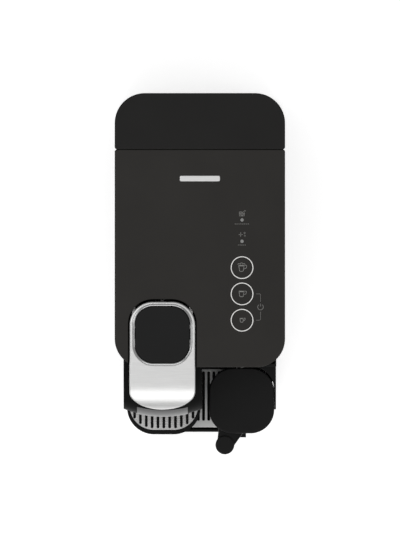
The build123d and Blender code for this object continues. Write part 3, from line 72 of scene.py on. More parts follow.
class Graph:
    """A material's node tree with short ways to add and join nodes."""

    def __init__(self, name: str) -> None:
        """Makes an empty material.

        Args:
            name: the material's name.
        """
        self.material = bpy.data.materials.new(name)
        self.material.use_nodes = True
        self.tree = self.material.node_tree
        self.tree.nodes.clear()
        self.out = self.tree.nodes.new("ShaderNodeOutputMaterial")
        self.place = self.tree.nodes.new("ShaderNodeTexCoord").outputs["Object"]

    def node(self, kind: str, **settings: object) -> bpy.types.Node:
        """Adds a node and sets its properties.

        Args:
            kind: the node's type name.
            **settings: properties of the node itself.

        Returns:
            The new node.
        """
        made = self.tree.nodes.new(kind)
        for key, value in settings.items():
            setattr(made, key, value)
        return made

    def join(self, source: Socket, target: Socket) -> None:
        """Links an output to an input."""
        self.tree.links.new(source, target)

    def stretched(self, direction: Direction) -> Socket:
        """Object coordinates squeezed along one direction.

        Args:
            direction: the way the pattern runs.

        Returns:
            The stretched coordinates.
        """
        mapping = self.node("ShaderNodeMapping")
        self.join(self.place, mapping.inputs["Vector"])
        mapping.inputs["Scale"].default_value = direction.value
        return mapping.outputs["Vector"]

    def noise(
        self,
        scale: float,
        detail: float = 3.0,
        direction: Direction = Direction.EVEN,
    ) -> Socket:
        """Noise from 0 to 1.

        Args:
            scale: features in each metre.
            detail: octaves of finer noise.
            direction: the way the noise is drawn out.

        Returns:
            The noise value.
        """
        made = self.node("ShaderNodeTexNoise")
        made.inputs["Scale"].default_value = scale
        made.inputs["Detail"].default_value = detail
        self.join(self.stretched(direction), made.inputs["Vector"])
        return made.outputs[0]

    def cells(self, scale: float) -> Socket:
        """Distance to the nearest of many scattered points.

        Args:
            scale: points in each metre.

        Returns:
            The distance value.
        """
        made = self.node("ShaderNodeTexVoronoi")
        made.inputs["Scale"].default_value = scale
        self.join(self.place, made.inputs["Vector"])
        return made.outputs["Distance"]

    def spread(
        self,
        value: Socket,
        low: float,
        high: float,
        start: float = 0.3,
        end: float = 0.7,
    ) -> Socket:
        """Maps a value from start..end to low..high.

        Args:
            value: the value to map.
            low: the result at start.
            high: the result at end.
            start: the value that gives low.
            end: the value that gives high.

        Returns:
            The mapped value.
        """
        made = self.node("ShaderNodeMapRange")
        self.join(value, made.inputs["Value"])
        made.inputs["From Min"].default_value = start
        made.inputs["From Max"].default_value = end
        made.inputs["To Min"].default_value = low
        made.inputs["To Max"].default_value = high
        return made.outputs["Result"]

    def sum(self, first: Socket, second: Socket) -> Socket:
        """Adds two values and keeps the result between 0 and 1.

        Args:
            first: one value.
            second: the other value.

        Returns:
            The clamped sum.
        """
        made = self.node("ShaderNodeMath", operation="ADD", use_clamp=True)
        self.join(first, made.inputs[0])
        self.join(second, made.inputs[1])
        return made.outputs[0]

    def edge(self, radius: float, low: float, high: float) -> tuple[Socket, Socket]:
        """Finds edges: the rounded normal leaves the true normal only near an edge.

        Args:
            radius: how far from the edge it reaches, in metres.
            low: the mask's value away from edges.
            high: the mask's value on edges.

        Returns:
            The edge mask, and the rounded normal.
        """
        rounded = self.node("ShaderNodeBevel", samples=6)
        rounded.inputs["Radius"].default_value = radius
        true = self.node("ShaderNodeNewGeometry")
        dot = self.node("ShaderNodeVectorMath", operation="DOT_PRODUCT")
        self.join(rounded.outputs["Normal"], dot.inputs[0])
        self.join(true.outputs["Normal"], dot.inputs[1])
        mask = self.spread(dot.outputs["Value"], high, low, 0.75, 0.99)
        return mask, rounded.outputs["Normal"]

    def tint(
        self, share: Socket, first: Colour, second: Colour
    ) -> Socket:
        """Blends two colours.

        Args:
            share: 0 for the first colour, 1 for the second.
            first: the first colour.
            second: the second colour.

        Returns:
            The blended colour.
        """
        made = self.node("ShaderNodeMix", data_type="RGBA", clamp_factor=True)
        self.join(share, made.inputs[0])
        made.inputs[6].default_value = (*first, 1.0)
        made.inputs[7].default_value = (*second, 1.0)
        return made.outputs[2]

    def over(
        self,
        share: Socket,
        below: Socket,
        above: Colour,
    ) -> Socket:
        """Lays a plain colour over a coloured socket.

        Args:
            share: how much of the plain colour shows.
            below: the colour underneath.
            above: the plain colour.

        Returns:
            The blended colour.
        """
        made = self.node("ShaderNodeMix", data_type="RGBA", clamp_factor=True)
        self.join(share, made.inputs[0])
        self.join(below, made.inputs[6])
        made.inputs[7].default_value = (*above, 1.0)
        return made.outputs[2]

    def bump(
        self,
        height: Socket,
        strength: float,
        depth: float,
        normal: Socket,
    ) -> Socket:
        """Turns a height into a normal.

        Args:
            height: the height value.
            strength: how strongly it shows, from 0 to 1.
            depth: the height of 1, in metres.
            normal: the normal it starts from.

        Returns:
            The new normal.
        """
        made = self.node("ShaderNodeBump")
        made.inputs["Strength"].default_value = strength
        made.inputs["Distance"].default_value = depth
        self.join(height, made.inputs["Height"])
        self.join(normal, made.inputs["Normal"])
        return made.outputs["Normal"]

    def finish(
        self,
        colour: Socket,
        roughness: Socket,
        normal: Socket,
        **constants: object,
    ) -> bpy.types.Material:
        """Adds the shader and joins it to the output.

        Args:
            colour: the base colour.
            roughness: the roughness.
            normal: the surface normal.
            **constants: values set on the shader's own sockets, by socket name with
                underscores for spaces.

        Returns:
            The finished material.
        """
        shader = self.node("ShaderNodeBsdfPrincipled")
        self.join(colour, shader.inputs["Base Color"])
        self.join(roughness, shader.inputs["Roughness"])
        self.join(normal, shader.inputs["Normal"])
        for key, value in constants.items():
            shader.inputs[key.replace("_", " ")].default_value = value
        self.join(shader.outputs[0], self.out.inputs["Surface"])
        return self.material


@dataclass(frozen=True)
class Moulded:
    """Moulded plastic or rubber: eroded grain, faint mottling, polished edges."""

    name: str
    colour: Colour
    roughness: float
    worn: Colour
    grain: float = 2600.0
    grain_strength: float = 0.16
    specular: float = 0.35
    wear: float = 0.3
    mottle: float = 0.1

    def material(self) -> bpy.types.Material:
        """Builds the node material.

        Returns:
            The finished material.
        """
        g = Graph(self.name)
        mask, rounded = g.edge(0.0006, 0.0, self.wear)
        cloud = g.noise(14.0, 4.0)
        fine = g.noise(self.grain, 2.0)
        lighter = tuple(c * (1 + self.mottle) for c in self.colour)
        darker = tuple(c * (1 - self.mottle) for c in self.colour)
        ground = g.tint(g.spread(cloud, 0.0, 1.0), darker, lighter)
        speck = g.over(g.spread(fine, 0.0, 0.12, 0.45, 0.75), ground, self.worn)
        colour = g.over(mask, speck, self.worn)
        smudge = g.noise(38.0, 5.0)
        rough = g.spread(smudge, self.roughness - 0.02, self.roughness + 0.03)
        normal = g.bump(fine, self.grain_strength, 0.00012, rounded)
        return g.finish(colour, rough, normal, Specular_IOR_Level=self.specular)


@dataclass(frozen=True)
class Gloss:
    """Polished plastic with a clear skin, faint flow waves and fine hairlines."""

    name: str
    colour: Colour
    roughness: float = 0.09
    coat: float = 0.5
    specular: float = 0.4
    glow: float = 0.0

    def material(self) -> bpy.types.Material:
        """Builds the node material.

        Returns:
            The finished material.
        """
        g = Graph(self.name)
        mask, rounded = g.edge(0.0007, 0.0, 0.35)
        lift = tuple(min(1.0, c * 1.6 + 0.02) for c in self.colour)
        cloud = g.noise(9.0, 2.0)
        darker = tuple(c * 0.86 for c in self.colour)
        ground = g.tint(g.spread(cloud, 0.0, 1.0), darker, self.colour)
        colour = g.over(mask, ground, lift)
        hair = g.noise(1500.0, 2.0, Direction.ALONG_Z)
        dust = g.noise(55.0, 6.0)
        rough = g.sum(
            g.spread(dust, self.roughness, self.roughness + 0.07, 0.35, 0.8),
            g.spread(hair, 0.0, 0.04, 0.62, 0.8),
        )
        wave = g.noise(26.0, 1.0)
        normal = g.bump(wave, 0.10, 0.0004, rounded)
        return g.finish(
            colour,
            rough,
            normal,
            Specular_IOR_Level=self.specular,
            Coat_Weight=self.coat,
            Coat_Roughness=0.04,
            Emission_Color=(*self.colour, 1.0),
            Emission_Strength=self.glow,
        )


@dataclass(frozen=True)
class Metal:
    """Brushed, plated or cast metal: drawn-out brush marks, stains, bright edges."""

    name: str
    colour: Colour
    roughness: float
    direction: Direction = Direction.ALONG_X
    grain: float = 1400.0
    marks: float = 0.12
    stain: float = 0.07
    anisotropy: float = 0.0

    def material(self) -> bpy.types.Material:
        """Builds the node material.

        Returns:
            The finished material.
        """
        g = Graph(self.name)
        mask, rounded = g.edge(0.0005, 0.0, 0.6)
        brush = g.noise(self.grain, 3.0, self.direction)
        cloud = g.noise(30.0, 5.0)
        darker = tuple(c * (1 - self.stain) for c in self.colour)
        bright = tuple(min(1.0, c * 1.12 + 0.03) for c in self.colour)
        ground = g.tint(g.spread(cloud, 0.0, 1.0), darker, self.colour)
        streak = g.over(g.spread(brush, 0.0, 0.35, 0.4, 0.75), ground, bright)
        colour = g.over(mask, streak, bright)
        rough = g.sum(
            g.spread(brush, self.roughness - 0.05, self.roughness + 0.06),
            g.spread(cloud, 0.0, 0.05, 0.45, 0.8),
        )
        normal = g.bump(brush, self.marks, 0.00006, rounded)
        return g.finish(colour, rough, normal, Metallic=1.0, Anisotropic=self.anisotropy)


@dataclass(frozen=True)
class Smoked:
    """Clear smoked plastic: lightly hazed inside, with soft flow waves."""

    name: str
    colour: Colour
    haze: float = 0.06
    clear: float = 0.82

    def material(self) -> bpy.types.Material:
        """Builds the node material.

        Returns:
            The finished material.
        """
        g = Graph(self.name)
        _, rounded = g.edge(0.0008, 0.0, 0.2)
        cloud = g.noise(18.0, 4.0)
        darker = tuple(c * 0.8 for c in self.colour)
        colour = g.tint(g.spread(cloud, 0.0, 1.0), darker, self.colour)
        scuff = g.noise(90.0, 4.0)
        rough = g.sum(
            g.spread(cloud, self.haze, self.haze + 0.03),
            g.spread(scuff, 0.0, 0.03, 0.6, 0.8),
        )
        normal = g.bump(g.noise(22.0, 1.0), 0.03, 0.0003, rounded)
        return g.finish(
            colour, rough, normal, Transmission_Weight=self.clear, IOR=1.49
        )


@dataclass(frozen=True)
class Board:
    """A varnished circuit board with copper tracks under the varnish."""

    name: str
    colour: Colour
    track: Colour

    def material(self) -> bpy.types.Material:
        """Builds the node material.

        Returns:
            The finished material.
        """
        g = Graph(self.name)
        mask, rounded = g.edge(0.0003, 0.0, 0.5)
        weave = g.noise(900.0, 2.0)
        darker = tuple(c * 0.75 for c in self.colour)
        ground = g.tint(g.spread(weave, 0.0, 1.0), darker, self.colour)
        tracks = g.spread(g.cells(160.0), 1.0, 0.0, 0.05, 0.16)
        colour = g.over(mask, g.over(tracks, ground, self.track), (0.45, 0.42, 0.30))
        rough = g.spread(g.noise(70.0, 4.0), 0.25, 0.42)
        normal = g.bump(tracks, 0.25, 0.0001, rounded)
        return g.finish(colour, rough, normal, Specular_IOR_Level=0.5, Coat_Weight=0.3)


FINISHES = {
    "casing_black": Moulded(
        "casing_satin", (0.0085, 0.0084, 0.0081), 0.5, (0.03, 0.029, 0.028), 2600.0, 0.14, 0.2
    ),
    "panel_black": Moulded(
        "panel_satin", (0.0205, 0.0190, 0.0172), 0.52, (0.025, 0.024, 0.022), 3400.0, 0.1, 0.2, 0.2
    ),
    "lid_black": Moulded(
        "lid_satin", (0.0105, 0.0101, 0.0096), 0.5, (0.022, 0.021, 0.02), 3400.0, 0.1, 0.17, 0.2
    ),
    "cap_black": Moulded(
        "cap_satin", (0.0082, 0.0082, 0.0082), 0.44, (0.018, 0.018, 0.018), 3000.0, 0.1, 0.12, 0.2
    ),
    "insert_black": Moulded(
        "insert_satin", (0.0088, 0.0089, 0.0090), 0.44, (0.02, 0.02, 0.02), 3000.0, 0.1, 0.15, 0.2
    ),
    "gloss_black": Gloss("black_piano", (0.0062, 0.0064, 0.0063), 0.2, 0.0, 0.12),
    "clear_black": Moulded("bin_satin", (0.014, 0.015, 0.016), 0.4, (0.05, 0.05, 0.05)),
    "chrome_satin": Metal(
        "satin_chrome", (0.76, 0.76, 0.755), 0.42, Direction.ALONG_X, 1500.0, 0.04, 0.03
    ),
    "chrome_bright": Metal(
        "bright_chrome", (0.40, 0.40, 0.40), 0.14, Direction.EVEN, 900.0, 0.02, 0.03
    ),
    "head_black": Moulded(
        "head_satin", (0.0062, 0.0064, 0.0063), 0.5, (0.02, 0.02, 0.02), 3000.0, 0.08, 0.04, 0.15
    ),
    "chrome_dark": Metal(
        "inlay_chrome", (0.17, 0.17, 0.17), 0.36, Direction.ALONG_X, 1500.0, 0.06, 0.03
    ),
    "steel": Metal(
        "brushed_steel", (0.62, 0.615, 0.61), 0.27, Direction.ALONG_X, 1500.0, 0.16, 0.08, 0.4
    ),
    "steel_pin": Metal("ground_steel", (0.55, 0.55, 0.54), 0.24, Direction.ALONG_Y, 2200.0, 0.1),
    "cast_alu": Metal("cast_aluminium", (0.52, 0.52, 0.51), 0.48, Direction.EVEN, 700.0, 0.4, 0.14),
    "bronze": Metal("sintered_bronze", (0.50, 0.34, 0.16), 0.38, Direction.EVEN, 1200.0, 0.25, 0.2),
    "rubber": Moulded(
        "foot_rubber", (0.012, 0.012, 0.012), 0.78, (0.04, 0.04, 0.04), 1200.0, 0.35, 0.2
    ),
    "seal": Moulded("seal_rubber", (0.26, 0.045, 0.03), 0.55, (0.40, 0.12, 0.08), 1400.0, 0.2),
    "silicone": Moulded(
        "hose_silicone", (0.55, 0.53, 0.49), 0.42, (0.66, 0.64, 0.60), 500.0, 0.15, 0.4
    ),
    "white_light": Gloss("ring_light", (0.72, 0.71, 0.695), 0.25, 0.1, 0.4, 0.3),
    "lens": Gloss("lens_milky", (0.27, 0.27, 0.265), 0.3, 0.1),
    "jug_clear": Smoked("jug_smoke", (0.20, 0.205, 0.21)),
    "tank_clear": Smoked("tank_smoke", (0.12, 0.123, 0.13)),
    "board_green": Board("board_varnish", (0.012, 0.10, 0.04), (0.03, 0.19, 0.08)),
    "component": Moulded(
        "component_resin", (0.035, 0.036, 0.04), 0.45, (0.1, 0.1, 0.1), 900.0, 0.3
    ),
    "inner_plastic": Moulded(
        "inner_nylon", (0.055, 0.056, 0.058), 0.5, (0.14, 0.14, 0.14), 1500.0, 0.25
    ),
    "white_plastic": Moulded(
        "white_acetal", (0.56, 0.55, 0.52), 0.38, (0.70, 0.69, 0.66), 1500.0, 0.15
    ),
}
SPECIAL = {
    "tank_lid": "lid_black",
    "milk_lid_cap": "cap_black",
    "head_inlay": "chrome_dark",
    "brew_head_cover": "head_black",
}
PRINT = Moulded("symbol_print", (0.26, 0.255, 0.245), 0.5, (0.3, 0.3, 0.29), 1800.0, 0.1)
BRIGHT_PRINT = Moulded("cup_print", (0.26, 0.255, 0.245), 0.5, (0.34, 0.34, 0.33), 1800.0, 0.1)


# ---------------------------------------------------------------- meshes


def turned(angle: np.ndarray, radius: float, x: float, y: float) -> np.ndarray:
    """Points of a circle: x + radius cos, y + radius sin.

    Args:
        angle: the angles, in radians.
        radius: the circle's radius.
        x: the centre's x.
        y: the centre's y.

    Returns:
        An array of points, one row each.
    """
    return np.column_stack([x + radius * np.cos(angle), y + radius * np.sin(angle)])


def rounded_rectangle(
    x: float, y: float, width: float, depth: float, corner: float, count: int
) -> np.ndarray:
    """A rectangle's outline with round corners, as points evenly spaced round it.

    Each corner is a quarter circle of the corner radius, and the straight sides join them.

    Args:
        x: the middle's x.
        y: the middle's y.
        width: the size along x.
        depth: the size along y.
        corner: the corner radius.
        count: how many points.

    Returns:
        The points, anticlockwise, one row each.
    """
    turn = np.linspace(0.0, np.pi / 2, 40)
    a, b = width / 2 - corner, depth / 2 - corner
    arcs = [
        turned(turn + n * np.pi / 2, corner, x + sx * a, y + sy * b)
        for n, (sx, sy) in enumerate(((1, 1), (-1, 1), (-1, -1), (1, -1)))
    ]
    return even(np.vstack(arcs), count)


def even(points: np.ndarray, count: int) -> np.ndarray:
    """Walks round a closed outline and takes points at equal distances.

    Args:
        points: the outline's points.
        count: how many points to take.

    Returns:
        The evenly spaced points.
    """
    closed = np.vstack([points, points[:1]])
    walked = np.concatenate([[0.0], np.cumsum(np.linalg.norm(np.diff(closed, axis=0), axis=1))])
    at = np.linspace(0.0, walked[-1], count, endpoint=False)
    return np.column_stack([np.interp(at, walked, closed[:, k]) for k in (0, 1)])


def drawn_in(outline: np.ndarray, inset: float) -> np.ndarray:
    """Moves an anticlockwise outline inwards, square to itself.

    Each point moves by inset along the direction of its neighbours' difference turned left.

    Args:
        outline: the plan outline.
        inset: how far it moves; a negative value moves it outwards.

    Returns:
        The moved points.
    """
    along = np.roll(outline, -1, axis=0) - np.roll(outline, 1, axis=0)
    along /= np.linalg.norm(along, axis=1, keepdims=True)
    return outline + inset * np.column_stack([-along[:, 1], along[:, 0]])


def at_height(outline: np.ndarray, z: float | np.ndarray) -> np.ndarray:
    """Gives each point of a plan outline its height."""
    return np.column_stack([outline, np.broadcast_to(z, len(outline))])


def stacked(outline: np.ndarray, steps: list[tuple[float, float]]) -> np.ndarray:
    """Loops of one outline: at each step it is drawn in by inset and set at height z.

    Args:
        outline: the plan outline.
        steps: pairs of inset and height, from the bottom to the top.

    Returns:
        An array of loops, each an array of points.
    """
    return np.stack([at_height(drawn_in(outline, inset), z) for inset, z in steps])


def quarter(inset: float, z: float, radius: float, up: bool) -> list[tuple[float, float]]:
    """Steps of a rounded edge: a quarter circle from the wall to the flat.

    Args:
        inset: the wall's inset.
        z: the flat's height.
        radius: the edge's radius.
        up: True for a top edge, False for a bottom edge.

    Returns:
        Pairs of inset and height, from the lower to the higher.
    """
    turn = np.linspace(0.0, np.pi / 2, 7)
    steps = [
        (inset + radius * (1 - np.cos(t)), z - (1 if up else -1) * radius * (1 - np.sin(t)))
        for t in turn
    ]
    return steps if up else steps[::-1]


def profile_turned(profile: np.ndarray, x: float, y: float, count: int = 96) -> np.ndarray:
    """A profile of radius and height carried round an upright axis.

    Args:
        profile: rows of radius and height.
        x: the axis's x.
        y: the axis's y.
        count: how many steps round.

    Returns:
        An array of loops.
    """
    angle = np.linspace(0.0, 2 * np.pi, count, endpoint=False)
    return np.stack([at_height(turned(angle, r, x, y), z) for r, z in profile])


def ribbon(path: np.ndarray, width: float, low: float, high: float) -> np.ndarray:
    """A flat strip: a rectangle's four corners carried along a plan path.

    Args:
        path: the points along the middle of the strip.
        width: the strip's width.
        low: the underside's height.
        high: the top's height.

    Returns:
        An array of four-point loops.
    """
    along = np.gradient(path, axis=0)
    along /= np.linalg.norm(along, axis=1, keepdims=True) + 1e-12
    side = np.column_stack([-along[:, 1], along[:, 0]]) * width / 2
    left, right = path + side, path - side
    return np.stack(
        [
            at_height(left, low),
            at_height(left, high),
            at_height(right, high),
            at_height(right, low),
        ],
        axis=1,
    )


@dataclass
class Builder:
    """Collects lofted surfaces of one piece and makes its mesh."""

    name: str
    points: list[np.ndarray] = field(default_factory=list)
    quads: list[np.ndarray] = field(default_factory=list)
    fans: list[np.ndarray] = field(default_factory=list)
    count: int = 0

    def loft(self, loops: np.ndarray, ends: Ends = Ends.CAPPED) -> "Builder":
        """Adds a surface through closed loops.

        The face between loops i and i+1 and points j and j+1 joins the four points there. A
        capped end is closed by a fan of triangles round the loop's mean point.

        Args:
            loops: an array of loops, points and x, y, z, in millimetres.
            ends: how the first and last loop are finished.

        Returns:
            This builder.
        """
        rings, around = loops.shape[:2]
        index = self.count + np.arange(rings * around).reshape(rings, around)
        if ends is Ends.JOINED:
            index = np.vstack([index, index[:1]])
        near, far = index[:-1], index[1:]
        side_near, side_far = np.roll(near, -1, axis=1), np.roll(far, -1, axis=1)
        self.quads.append(np.stack([near, side_near, side_far, far], axis=-1).reshape(-1, 4))
        self.points.append(loops.reshape(-1, 3))
        self.count += rings * around
        if ends is Ends.CAPPED:
            first, last = index[0], index[-1]
            self.points.append(np.stack([loops[0].mean(axis=0), loops[-1].mean(axis=0)]))
            low, high = self.count, self.count + 1
            self.count += 2
            self.fans.append(
                np.column_stack([np.roll(first, -1), first, np.full(around, low)])
            )
            self.fans.append(np.column_stack([last, np.roll(last, -1), np.full(around, high)]))
        return self

    def build(self, body: str, slot: str, replaced: tuple[str, ...] = ()) -> bpy.types.Object:
        """Makes the object, turns its faces outwards and puts it on its body.

        Args:
            body: the moving body it rides on.
            slot: not used.
            replaced: the nodes it stands for.

        Returns:
            The finished object.
        """
        mesh = bpy.data.meshes.new(self.name)
        faces = [q for part in (self.quads, self.fans) for block in part for q in block.tolist()]
        mesh.from_pydata((np.vstack(self.points) * MM).tolist(), [], faces)
        mesh.update()
        made = bpy.data.objects.new(self.name, mesh)
        bpy.context.scene.collection.objects.link(made)
        self._outwards(mesh)
        mesh.polygons.foreach_set("use_smooth", np.ones(len(mesh.polygons), dtype=bool))
        mesh.set_sharp_from_angle(angle=np.radians(38.0))
        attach(made, body)
        if replaced:
            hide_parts(*replaced)
        log.info("%s: %d faces on %s", self.name, len(mesh.polygons), body)
        return made

    @staticmethod
    def _outwards(mesh: bpy.types.Mesh) -> None:
        """Turns every face outwards.

        Args:
            mesh: the mesh that is changed.
        """
        work = bmesh.new()
        work.from_mesh(mesh)
        bmesh.ops.recalc_face_normals(work, faces=work.faces[:])
        work.to_mesh(mesh)
        work.free()


def dress(made: bpy.types.Object, material: bpy.types.Material) -> None:
    """Gives an object one material."""
    made.data.materials.clear()
    made.data.materials.append(material)


# ---------------------------------------------------------------- sub-assemblies


@dataclass
class Wardrobe:
    """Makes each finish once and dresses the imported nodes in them."""

    made: dict[str, bpy.types.Material] = field(default_factory=dict)

    def material(self, slot: str) -> bpy.types.Material:
        """Gives the material of a finish, made the first time it is asked for.

        Args:
            slot: the finish's name in FINISHES.

        Returns:
            The material.
        """
        if slot not in self.made:
            self.made[slot] = FINISHES[slot].material()
        return self.made[slot]

    def extra(self, finish: Moulded) -> bpy.types.Material:
        """Gives the material of a finish that has no slot of its own.

        Args:
            finish: the finish.

        Returns:
            The material, made once.
        """
        if finish.name not in self.made:
            self.made[finish.name] = finish.material()
        return self.made[finish.name]

    def dress_nodes(self, record: dict) -> None:
        """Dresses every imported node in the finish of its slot.

        Args:
            record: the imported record, which names each node's slot.
        """
        for row in record["subparts"]:
            slot = SPECIAL.get(row["node"], row["material_slot"])
            dress(frame["nodes"][row["node"]], self.material(slot))
        log.info("%d nodes dressed", len(record["subparts"]))


@dataclass
class Lever:
    """The silver lever with its dark insert."""

    x: float = -33.7
    rear: float = -24.7
    front: float = -122.7
    width: float = 59.0
    top: float = 257.0
    corner: float = 21.0
    tip: float = 16.6
    bend: float = 26.0
    bend_angle: float = 70.0
    thickness: float = 4.0
    skirt: float = 7.0
    wall: float = 2.0
    window_width: float = 50.0
    window_length: float = 51.6
    window_corner: float = 17.0
    window_rear: float = -28.4
    bezel: float = 1.9
    around: int = 420

    @property
    def bend_y(self) -> float:
        """Where the flat ends and the bend begins."""
        return self.front + self.bend * np.sin(np.radians(self.bend_angle))

    def outline(self, inset: float = 0.0) -> np.ndarray:
        """The plan: an ellipse in front, straight sides, round rear corners.

        Args:
            inset: how far the outline is drawn in.

        Returns:
            Evenly spaced points.
        """
        half = self.width / 2
        shoulder = self.front + self.tip
        turn = np.linspace(0.0, np.pi / 2, 60)
        r = self.corner
        rear_right = turned(turn, r, self.x + half - r, self.rear - r)
        rear_left = turned(turn + np.pi / 2, r, self.x - half + r, self.rear - r)
        sweep = np.linspace(np.pi, 2 * np.pi, 200)
        tip = np.column_stack(
            [self.x + half * np.cos(sweep), shoulder + self.tip * np.sin(sweep)]
        )
        return drawn_in(even(np.vstack([rear_right, rear_left, tip]), self.around), inset)

    def window(self, outer: np.ndarray, inset: float = 0.0) -> np.ndarray:
        """The window's outline, one point on the ray through each outer point.

        Args:
            outer: the outer outline's points.
            inset: how far the window is drawn in.

        Returns:
            The window's points, in the outer points' order.
        """
        middle = np.array([self.x, self.window_rear - self.window_length / 2])
        dense = rounded_rectangle(
            *middle,
            self.window_width - 2 * inset,
            self.window_length - 2 * inset,
            self.window_corner - inset,
            2400,
        )
        away = dense - middle
        order = np.argsort(np.arctan2(away[:, 1], away[:, 0]))
        angle = np.arctan2(away[:, 1], away[:, 0])[order]
        reach = np.linalg.norm(away, axis=1)[order]
        to = outer - middle
        asked = np.arctan2(to[:, 1], to[:, 0])
        found = np.interp(asked, angle, reach, period=2 * np.pi)
        return middle + found[:, None] * np.column_stack([np.cos(asked), np.sin(asked)])

    def lay(self, plan: np.ndarray, depth: np.ndarray | float) -> np.ndarray:
        """Puts plan points on the lever, depth below its skin.

        The skin is flat behind the bend and a cylinder of the bend's radius in front of it:
        z = top - bend + sqrt(bend squared - (bend_y - y) squared). Depth runs square to it.

        Args:
            plan: plan points.
            depth: how deep each point lies.

        Returns:
            The points in space.
        """
        past = np.clip(self.bend_y - plan[:, 1], 0.0, self.bend * 0.985)
        lean = past / self.bend
        upright = np.sqrt(1 - lean**2)
        z = self.top - self.bend + self.bend * upright
        return np.column_stack([plan[:, 0], plan[:, 1] + depth * lean, z - depth * upright])

    def cover(self) -> np.ndarray:
        """The lever's closed section carried round the window.

        From the bezel's edge the section crosses the top, rolls over the outer edge, goes down
        the skirt, up inside it and back under the plate.

        Returns:
            An array of loops, to be joined into a ring.
        """
        outer = self.outline()
        inner = self.window(outer, -self.bezel)
        behind = outer[:, 1]
        zone = np.clip((behind - self.bend_y) / 4, 0, 1) * np.clip(
            (self.rear - self.corner - 2 - behind) / 4, 0, 1
        )
        deep = self.thickness + self.skirt * zone * zone * (3 - 2 * zone)
        span = np.linalg.norm(outer - inner, axis=1)
        loops = []
        share = np.concatenate([np.linspace(0, 0.12, 8), np.linspace(0.15, 1, 40)])
        edge, lip = 1.6, 0.35
        for f in share:
            from_in, from_out = f * span, (1 - f) * span
            near = np.clip(edge - from_out, 0, edge)
            roll = edge - np.sqrt(np.clip(edge**2 - near**2, 0, None))
            near = np.clip(lip - from_in, 0, lip)
            fall = lip - np.sqrt(np.clip(lip**2 - near**2, 0, None))
            loops.append(self.lay(inner + f * (outer - inner), roll + fall))
        for d in np.linspace(0, 1, 8)[1:]:
            loops.append(self.lay(outer, edge + (deep - edge) * d))
        within = self.outline(self.wall)
        loops.append(self.lay(within, deep))
        loops.append(self.lay(within, np.minimum(deep, self.thickness)))
        for f in np.linspace(1, 0, 14)[1:]:
            loops.append(self.lay(inner + f * (within - inner), self.thickness))
        loops.append(self.lay(inner, (self.thickness + lip) / 2))
        return np.stack(loops)

    def bezel_ring(self) -> np.ndarray:
        """The polished ring between the cover and the insert.

        Its section is a groove beside the cover and a bead beside the insert: at a distance d
        from the window the top lies deeper than the lever's skin by
        0.45 - 0.35 exp(-((d - 0.75) / 0.45) squared).

        Returns:
            An array of loops, to be joined into a ring.
        """
        outer = self.outline()
        inner, rim = self.window(outer), self.window(outer, -self.bezel + 0.05)
        loops = []
        for f in np.linspace(0, 1, 26):
            d = f * self.bezel
            deep = 0.45 - 0.35 * np.exp(-(((d - 0.75) / 0.45) ** 2))
            loops.append(self.lay(inner + f * (rim - inner), deep))
        loops.append(self.lay(rim, self.thickness))
        loops.append(self.lay(inner, self.thickness))
        return np.stack(loops)

    def build(self, wardrobe: Wardrobe) -> None:
        """Builds the cover, its bezel and the insert.

        Args:
            wardrobe: gives the materials.
        """
        cover = Builder("lever_cover").loft(self.cover(), Ends.JOINED)
        made = cover.build("lever", "chrome_satin", ("lever_frame",))
        dress(made, wardrobe.material("chrome_satin"))
        bezel = Builder("lever_bezel").loft(self.bezel_ring(), Ends.JOINED)
        made = bezel.build("lever", "chrome_satin", ("lever_frame",))
        dress(made, wardrobe.material("chrome_bright"))
        gap, drop = 0.4, 0.8
        middle = self.window_rear - self.window_length / 2
        plan = rounded_rectangle(
            self.x,
            middle,
            self.window_width - 2 * gap,
            self.window_length - 2 * gap,
            self.window_corner - gap,
            240,
        )
        flat = self.top - drop
        steps = [(0.6, self.top - self.thickness), (0.0, self.top - self.thickness + 0.6)]
        steps += quarter(0.0, flat, 0.9, True)
        loops = [at_height(drawn_in(plan, inset), z) for inset, z in steps]
        centre = np.array([self.x, middle])
        rim = drawn_in(plan, 0.9)
        for share in (0.94, 0.82, 0.66, 0.5, 0.34, 0.18, 0.06):
            dish = 0.35 * (1 - share**2)
            loops.append(at_height(centre + share * (rim - centre), flat - dish))
        pad = Builder("lever_pad").loft(np.stack(loops))
        made = pad.build("lever", "insert_black", ("lever_insert",))
        dress(made, wardrobe.material("insert_black"))


